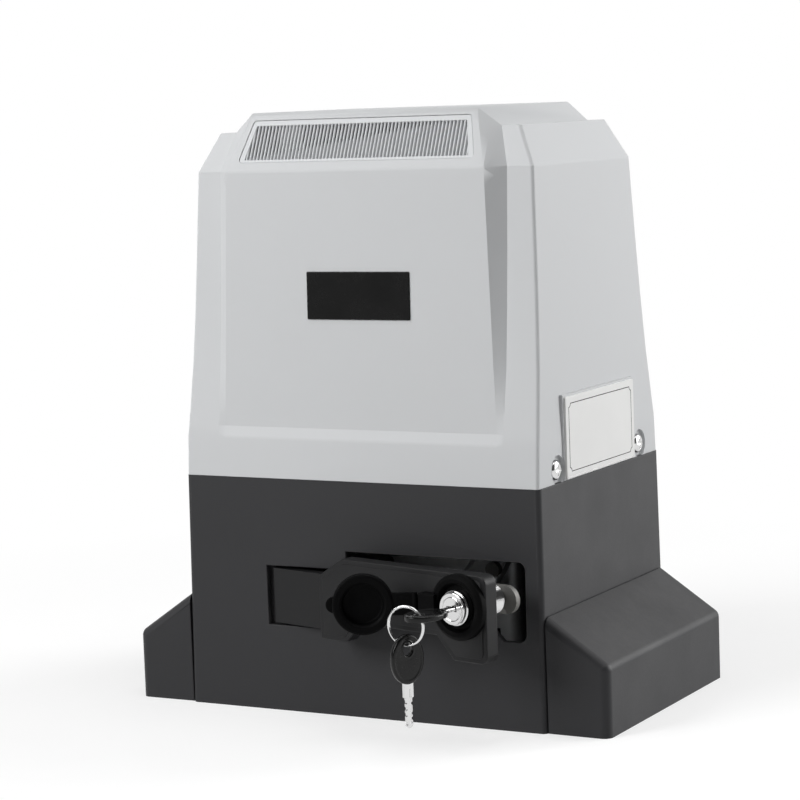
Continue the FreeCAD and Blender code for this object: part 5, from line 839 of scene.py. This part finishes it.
class GATEMOTOR_OT_lock(Operator):
    """Build the cam lock: rubber collar, threaded chromed body and plug"""
    bl_idname = "gate_motor.build_lock"
    bl_label = "Cam lock"

    def execute(self, context):
        fittings = context.scene.gate_motor_fittings
        where = lever_seat(LOCK_U, PLATE_FRONT, LOCK_Z)
        bore, outer = 9.5, 17.5
        ring = eased_line([(bore, 0.0), (outer, 0.0), (outer - 0.1, 3.4), (15.2, 5.0), (12.9, 4.6), (11.6, 1.3),
                           (bore, 1.2)], [0, 0.2, 1.6, 1.4, 1.0, 0.8, 0])
        lug_x = np.array([-23.2, -19.0, -14.5, -12.5])
        lug_line = np.column_stack([lug_x, 0 * lug_x, np.full(4, 3.8)])
        lug = put(swept(lug_line, rounded_box(3.3, 6.0, 0.9), np.array([0, 1.0, 0])), where)
        make_piece("lock_grommet", [turned(ring, where, 96, closed=True), net(lug)], "rubber_black", "lever",
                   "lock_collar")
        make_piece("lock_barrel", [self.barrel(where, fittings.thread_pitch / MM)], "chrome", "lever", "lock_body")
        make_piece("lock_face", [self.face(where)], "chrome", "plug", "lock_plug", sharp=40)
        return {"FINISHED"}

    def barrel(self, where, pitch):
        """The barrel's radius less a thread groove of depth |2 frac(h/pitch - a/2pi) - 1|, then its round head."""
        barrel, groove, low, bore = 8.0, 0.4, -25.8, 6.15
        head_radius, head_top = 9.4, 5.6
        angle = full_turn(64)[None, :]
        height = np.arange(low, -2.0, pitch / 8)[:, None]
        phase = height / pitch - angle / (2 * np.pi)
        fade = ease(low, low + 1.0, height)
        radius = barrel - groove * fade * np.abs(2 * (phase - np.floor(phase)) - 1)
        head = eased_line([(barrel, -1.9), (barrel, 0.0), (head_radius, 0.0), (head_radius, head_top),
                           (7.2, head_top), (6.3, 4.9), (bore, low)], [0, 0, 0.3, 1.1, 0.3, 0.2, 0])
        radii = np.concatenate([radius, head[:, :1] + 0 * angle])
        heights = np.concatenate([height + 0 * angle, head[:, 1:] + 0 * angle])
        points = np.stack([radii * np.cos(angle), radii * np.sin(angle), heights], -1)
        return net(put(points, where), wrap_rows=True)

    def face(self, where):
        """A turned disc whose front falls by the key slot's depth in the slot, and by a fine ring round it."""
        core, disc, low, under, top, flat, rings = 6.0, 8.5, -26.1, 5.95, 7.4, 7.2, 44
        slot_depth, ring_depth, ring_radius, ring_soft = 4.0, 0.25, 6.2, 0.25
        edge = eased_line([(0.0, low), (core, low), (core, under), (disc, under), (disc, top), (flat, top)],
                          [0, 0.4, 0, 0.2, 0.6, 0])
        radius = np.concatenate([edge[:, 0], np.linspace(flat, 0.0, rings)])[:, None]
        height = np.concatenate([edge[:, 1], np.full(rings, top)])[:, None]
        angle = full_turn(112)[None, :]
        x, y = radius * np.cos(angle), radius * np.sin(angle)
        slot = (1 - ease(3.0, 3.25, np.abs(x))) * (1 - ease(0.98, 1.18, np.abs(y)))
        front = np.concatenate([np.zeros(len(edge)), np.ones(rings)])[:, None]
        ring = ring_depth * (1 - ease(0.0, ring_soft, np.abs(radius - ring_radius)))
        points = np.stack([x, y, height - front * (slot * slot_depth + ring)], -1)
        return net(put(points, where))


class GATEMOTOR_OT_cap(Operator):
    """Build the rubber dust cap: a turned cup and tab, a strap swept to its hinge, and a round knuckle there"""
    bl_idname = "gate_motor.build_cap"
    bl_label = "Dust cap"

    def execute(self, context):
        dish = context.scene.gate_motor_fittings.cap_dish / MM
        swing = LEVER_OPEN + math.radians(140.0)
        arm = np.array([math.cos(swing), -math.sin(swing), 0])
        mouth = np.array([math.sin(swing), math.cos(swing), 0])
        hinge = PIVOT + LEVER_ALONG * CAP_HINGE_U + LEVER_OUT * (PLATE_FRONT + CAP_HINGE_OUT) + UP * LOCK_Z
        reach, tab_reach, cup_radius, back = 27.2, 15.2, 16.0, -6.8
        cup = seat(hinge + arm * reach, arm, mouth)
        profile = eased_line([(0, back), (cup_radius, back), (cup_radius, 0.7), (14.9, 1.2), (dish + 1.2, 0.9),
                              (dish, -0.2), (dish - 0.4, -4.6), (0, -4.8)], [0, 2.4, 0.7, 0.8, 0.9, 0.7, 1.6, 0])
        tab = seat(hinge + arm * (reach + tab_reach), arm, mouth)
        tab_radius, tab_low, tab_high = 4.4, -3.8, -1.8
        tab_line = eased_line([(0, tab_low), (tab_radius, tab_low), (tab_radius, tab_high), (0, tab_high)],
                              [0, 0.8, 0.8, 0])
        strap = np.array([(-1.5, 0, 0), (-1.1, 0, -0.1), (0.0, 0, -0.2), (1.5, 0, -0.35), (5.0, 0, -0.4),
                          (9.0, 0, -0.45), (12.6, 0, -0.8), (15.0, 0, -1.8)])
        width = np.array([0.75, 0.9, 0.95, 1.0, 1.0, 1.0, 1.0, 1.0])
        band = swept(strap, rounded_box(1.1, 6.0, 0.7), np.array([0, 1.0, 0]), width)
        fold = seat(hinge, arm, mouth)
        knuckle, half = 1.5, 6.0
        knuckle_line = eased_line([(0, -half), (knuckle, -half), (knuckle, half), (0, half)], [0, 0.4, 0.4, 0])
        make_piece("cap_cup", [turned(profile, cup, 96), turned(tab_line, tab, 40), net(put(band, fold)),
                               turned(knuckle_line, seat(hinge, arm, UP), 24)], "rubber_black", "dust_cap",
                   "dust_cap")
        return {"FINISHED"}


class GATEMOTOR_OT_keys(Operator):
    """Build the key in the lock, the split ring and the spare key"""
    bl_idname = "gate_motor.build_keys"
    bl_label = "Keys and ring"

    def execute(self, context):
        fittings = context.scene.gate_motor_fittings
        ring = self.ring_centre()
        head_end = PIVOT + LEVER_ALONG * LOCK_U + LEVER_OUT * (PLATE_FRONT + KEY_REACH) + UP * LOCK_Z
        turn = math.radians(62.0)
        hang = 4.25
        seats = {"inserted": (seat(head_end, LEVER_ALONG, UP), "plug"),
                 "spare": (seat(ring - UP * hang, (math.cos(turn), math.sin(turn), 0),
                                (-math.sin(turn), math.cos(turn), 0)), "spare_key")}
        for name, (where, body) in seats.items():
            make_piece(name + "_head", [self.bow(where, fittings.bow_rim / MM)], "key_black", body,
                       f"{name}_key_bow", sharp=60)
            make_piece(name + "_blade", [self.blade(where)], "chrome", body, f"{name}_key_blade", sharp=30)
        make_piece("split_ring", [self.ring(seat(ring, ACROSS, (0, -1, 0)), fittings.ring_wire / MM)], "chrome",
                   "key_ring", "key_ring")
        return {"FINISHED"}

    def ring_centre(self):
        """The ring hangs through the hole of the inserted key, to its left and below its middle."""
        from_end, below, left = 8.4, 5.0, 8.2
        reach = PLATE_FRONT + KEY_REACH - from_end
        return PIVOT + LEVER_ALONG * LOCK_U + LEVER_OUT * reach + UP * (LOCK_Z - below) - ACROSS * left

    def bow(self, where, rim):
        """Between an oval hole and an oval outline seen from the hole's middle; the section goes once round
        both faces, z = +-half_thick |sin|^0.35, and the faces are sunk inside the rim."""
        angle = full_turn(96)[:, None]
        middle, half_long, half_wide, half_thick, sunk = 7.7, 13.0, 9.75, 1.8, 0.22
        hole_wide, hole_long = 2.8, 3.5
        shift = middle - half_long
        a = (np.cos(angle) / half_wide) ** 2 + (np.sin(angle) / half_long) ** 2
        b = 2 * shift * np.sin(angle) / half_long ** 2
        c = (shift / half_long) ** 2 - 1
        outer = (-b + np.sqrt(b * b - 4 * a * c)) / (2 * a)
        hole = 1 / np.sqrt((np.cos(angle) / hole_wide) ** 2 + (np.sin(angle) / hole_long) ** 2)
        around = full_turn(56)[None, :]
        share = (1 - np.cos(around)) / 2
        reach = hole + (outer - hole) * share
        panel = ease(rim, rim + 0.9, outer - reach) * ease(0.7, 1.5, reach - hole)
        lift = np.sign(np.sin(around)) * np.abs(np.sin(around)) ** 0.35
        x, y = reach * np.cos(angle), middle + reach * np.sin(angle)
        z = half_thick * lift * (1 - sunk * panel)
        return net(put(np.stack([x, y, z], -1), where), wrap_rows=True)

    def blade(self, where):
        """A flat bar along y: half width less a step past the stop and less each cut, given as its place, side
        and depth; the two faces have milled grooves."""
        half_wide, step, half_thick, tip_from, tip_radius = 2.98, 1.0, 0.88, 46.9, 1.75
        y = np.linspace(20.2, 48.6, 190)[:, None]
        tip = np.sqrt(np.clip(1 - ((y - tip_from) / tip_radius) ** 2, 0.02, 1)) * (y > tip_from) + (y <= tip_from)
        wide = (half_wide - step * ease(32.6, 33.2, y)) * tip
        cuts = np.array([(35.9, 1, 0.7), (38.5, -1, 0.6), (41.1, 1, 0.55), (43.7, 1, 0.7), (46.3, -1, 0.65),
                         (35.0, -1, 0.3), (41.6, -1, 0.4)])
        dips = [depth * (1 - ease(0.35, 1.1, np.abs(y - at))) for at, _, depth in cuts]
        right = wide - sum(dip for dip, (_, side, _) in zip(dips, cuts) if side > 0)
        left = wide - sum(dip for dip, (_, side, _) in zip(dips, cuts) if side < 0)
        across = np.linspace(-1, 1, 25)[None, :]
        x = np.where(across > 0, across * right, across * left)
        lane = ease(28.0, 28.8, y) * (1 - ease(45.6, 46.4, y))
        edge = 0.18 * ease(0.88, 1.0, np.abs(across))
        top = half_thick - edge - 0.5 * lane * (1 - ease(0.35, 0.6, np.abs(x + 0.1)))
        low = -half_thick + edge + 0.4 * lane * (1 - ease(0.3, 0.5, np.abs(x - 0.9)))
        rows = np.concatenate([np.stack([x, y + 0 * x, top], -1), np.stack([x, y + 0 * x, low], -1)[:, ::-1]], 1)
        ends = [rows[:1] * [0, 1, 0], rows[-1:] * [0, 1, 0]]
        return net(put(np.concatenate([ends[0], rows, ends[1]]), where))

    def ring(self, where, wire):
        """A flat wire wound nearly twice round: angle 4 pi t, on one side at first and on the other after a turn."""
        radius, half_wide, start, share, apart, cross = 10.0, 0.62, 2.3, 0.985, 0.37, 26
        t = np.linspace(0.0, 1.0, 220)
        angle = 4 * np.pi * t * share + start
        offset = apart * np.tanh((t - 0.5) * cross)
        path = np.column_stack([radius * np.cos(angle), radius * np.sin(angle), offset])
        return net(put(swept(path, oval(12, half_wide, wire / 2), UP), where))


class GATEMOTOR_PT_pieces(Panel):
    """Lists the pieces of the gate motor and the sizes and colours behind them"""
    bl_idname = "GATEMOTOR_PT_pieces"
    bl_label = "Gate Motor"
    bl_space_type = "VIEW_3D"
    bl_region_type = "UI"
    bl_category = "Gate Motor"

    def draw(self, context):
        for group in SETTINGS:
            settings = getattr(context.scene, "gate_motor_" + group)
            column = self.layout.box().column()
            for name in settings.__annotations__:
                column.prop(settings, name)
        for operator in PIECES:
            self.layout.operator(operator.bl_idname)


PIECES = (GATEMOTOR_OT_studio, GATEMOTOR_OT_finishes, GATEMOTOR_OT_shells, GATEMOTOR_OT_vents, GATEMOTOR_OT_plates,
          GATEMOTOR_OT_screws, GATEMOTOR_OT_whisker, GATEMOTOR_OT_panel, GATEMOTOR_OT_lock, GATEMOTOR_OT_cap,
          GATEMOTOR_OT_keys)
CLASSES = (*SETTINGS.values(), *PIECES, GATEMOTOR_PT_pieces)


def register():
    for item in CLASSES:
        bpy.utils.register_class(item)
    for group, settings in SETTINGS.items():
        setattr(bpy.types.Scene, "gate_motor_" + group, PointerProperty(type=settings))


def unregister():
    for group in SETTINGS:
        delattr(bpy.types.Scene, "gate_motor_" + group)
    for item in reversed(CLASSES):
        bpy.utils.unregister_class(item)


def main():
    register()
    tools = bpy.ops.gate_motor
    tools.set_studio()
    tools.mix_finishes()
    tools.soften_shells()
    tools.build_vents()
    tools.build_plates()
    tools.build_screws()
    tools.build_whisker()
    tools.build_panel()
    tools.build_lock()
    tools.build_cap()
    tools.build_keys()


if __name__ == "__main__":
    main()
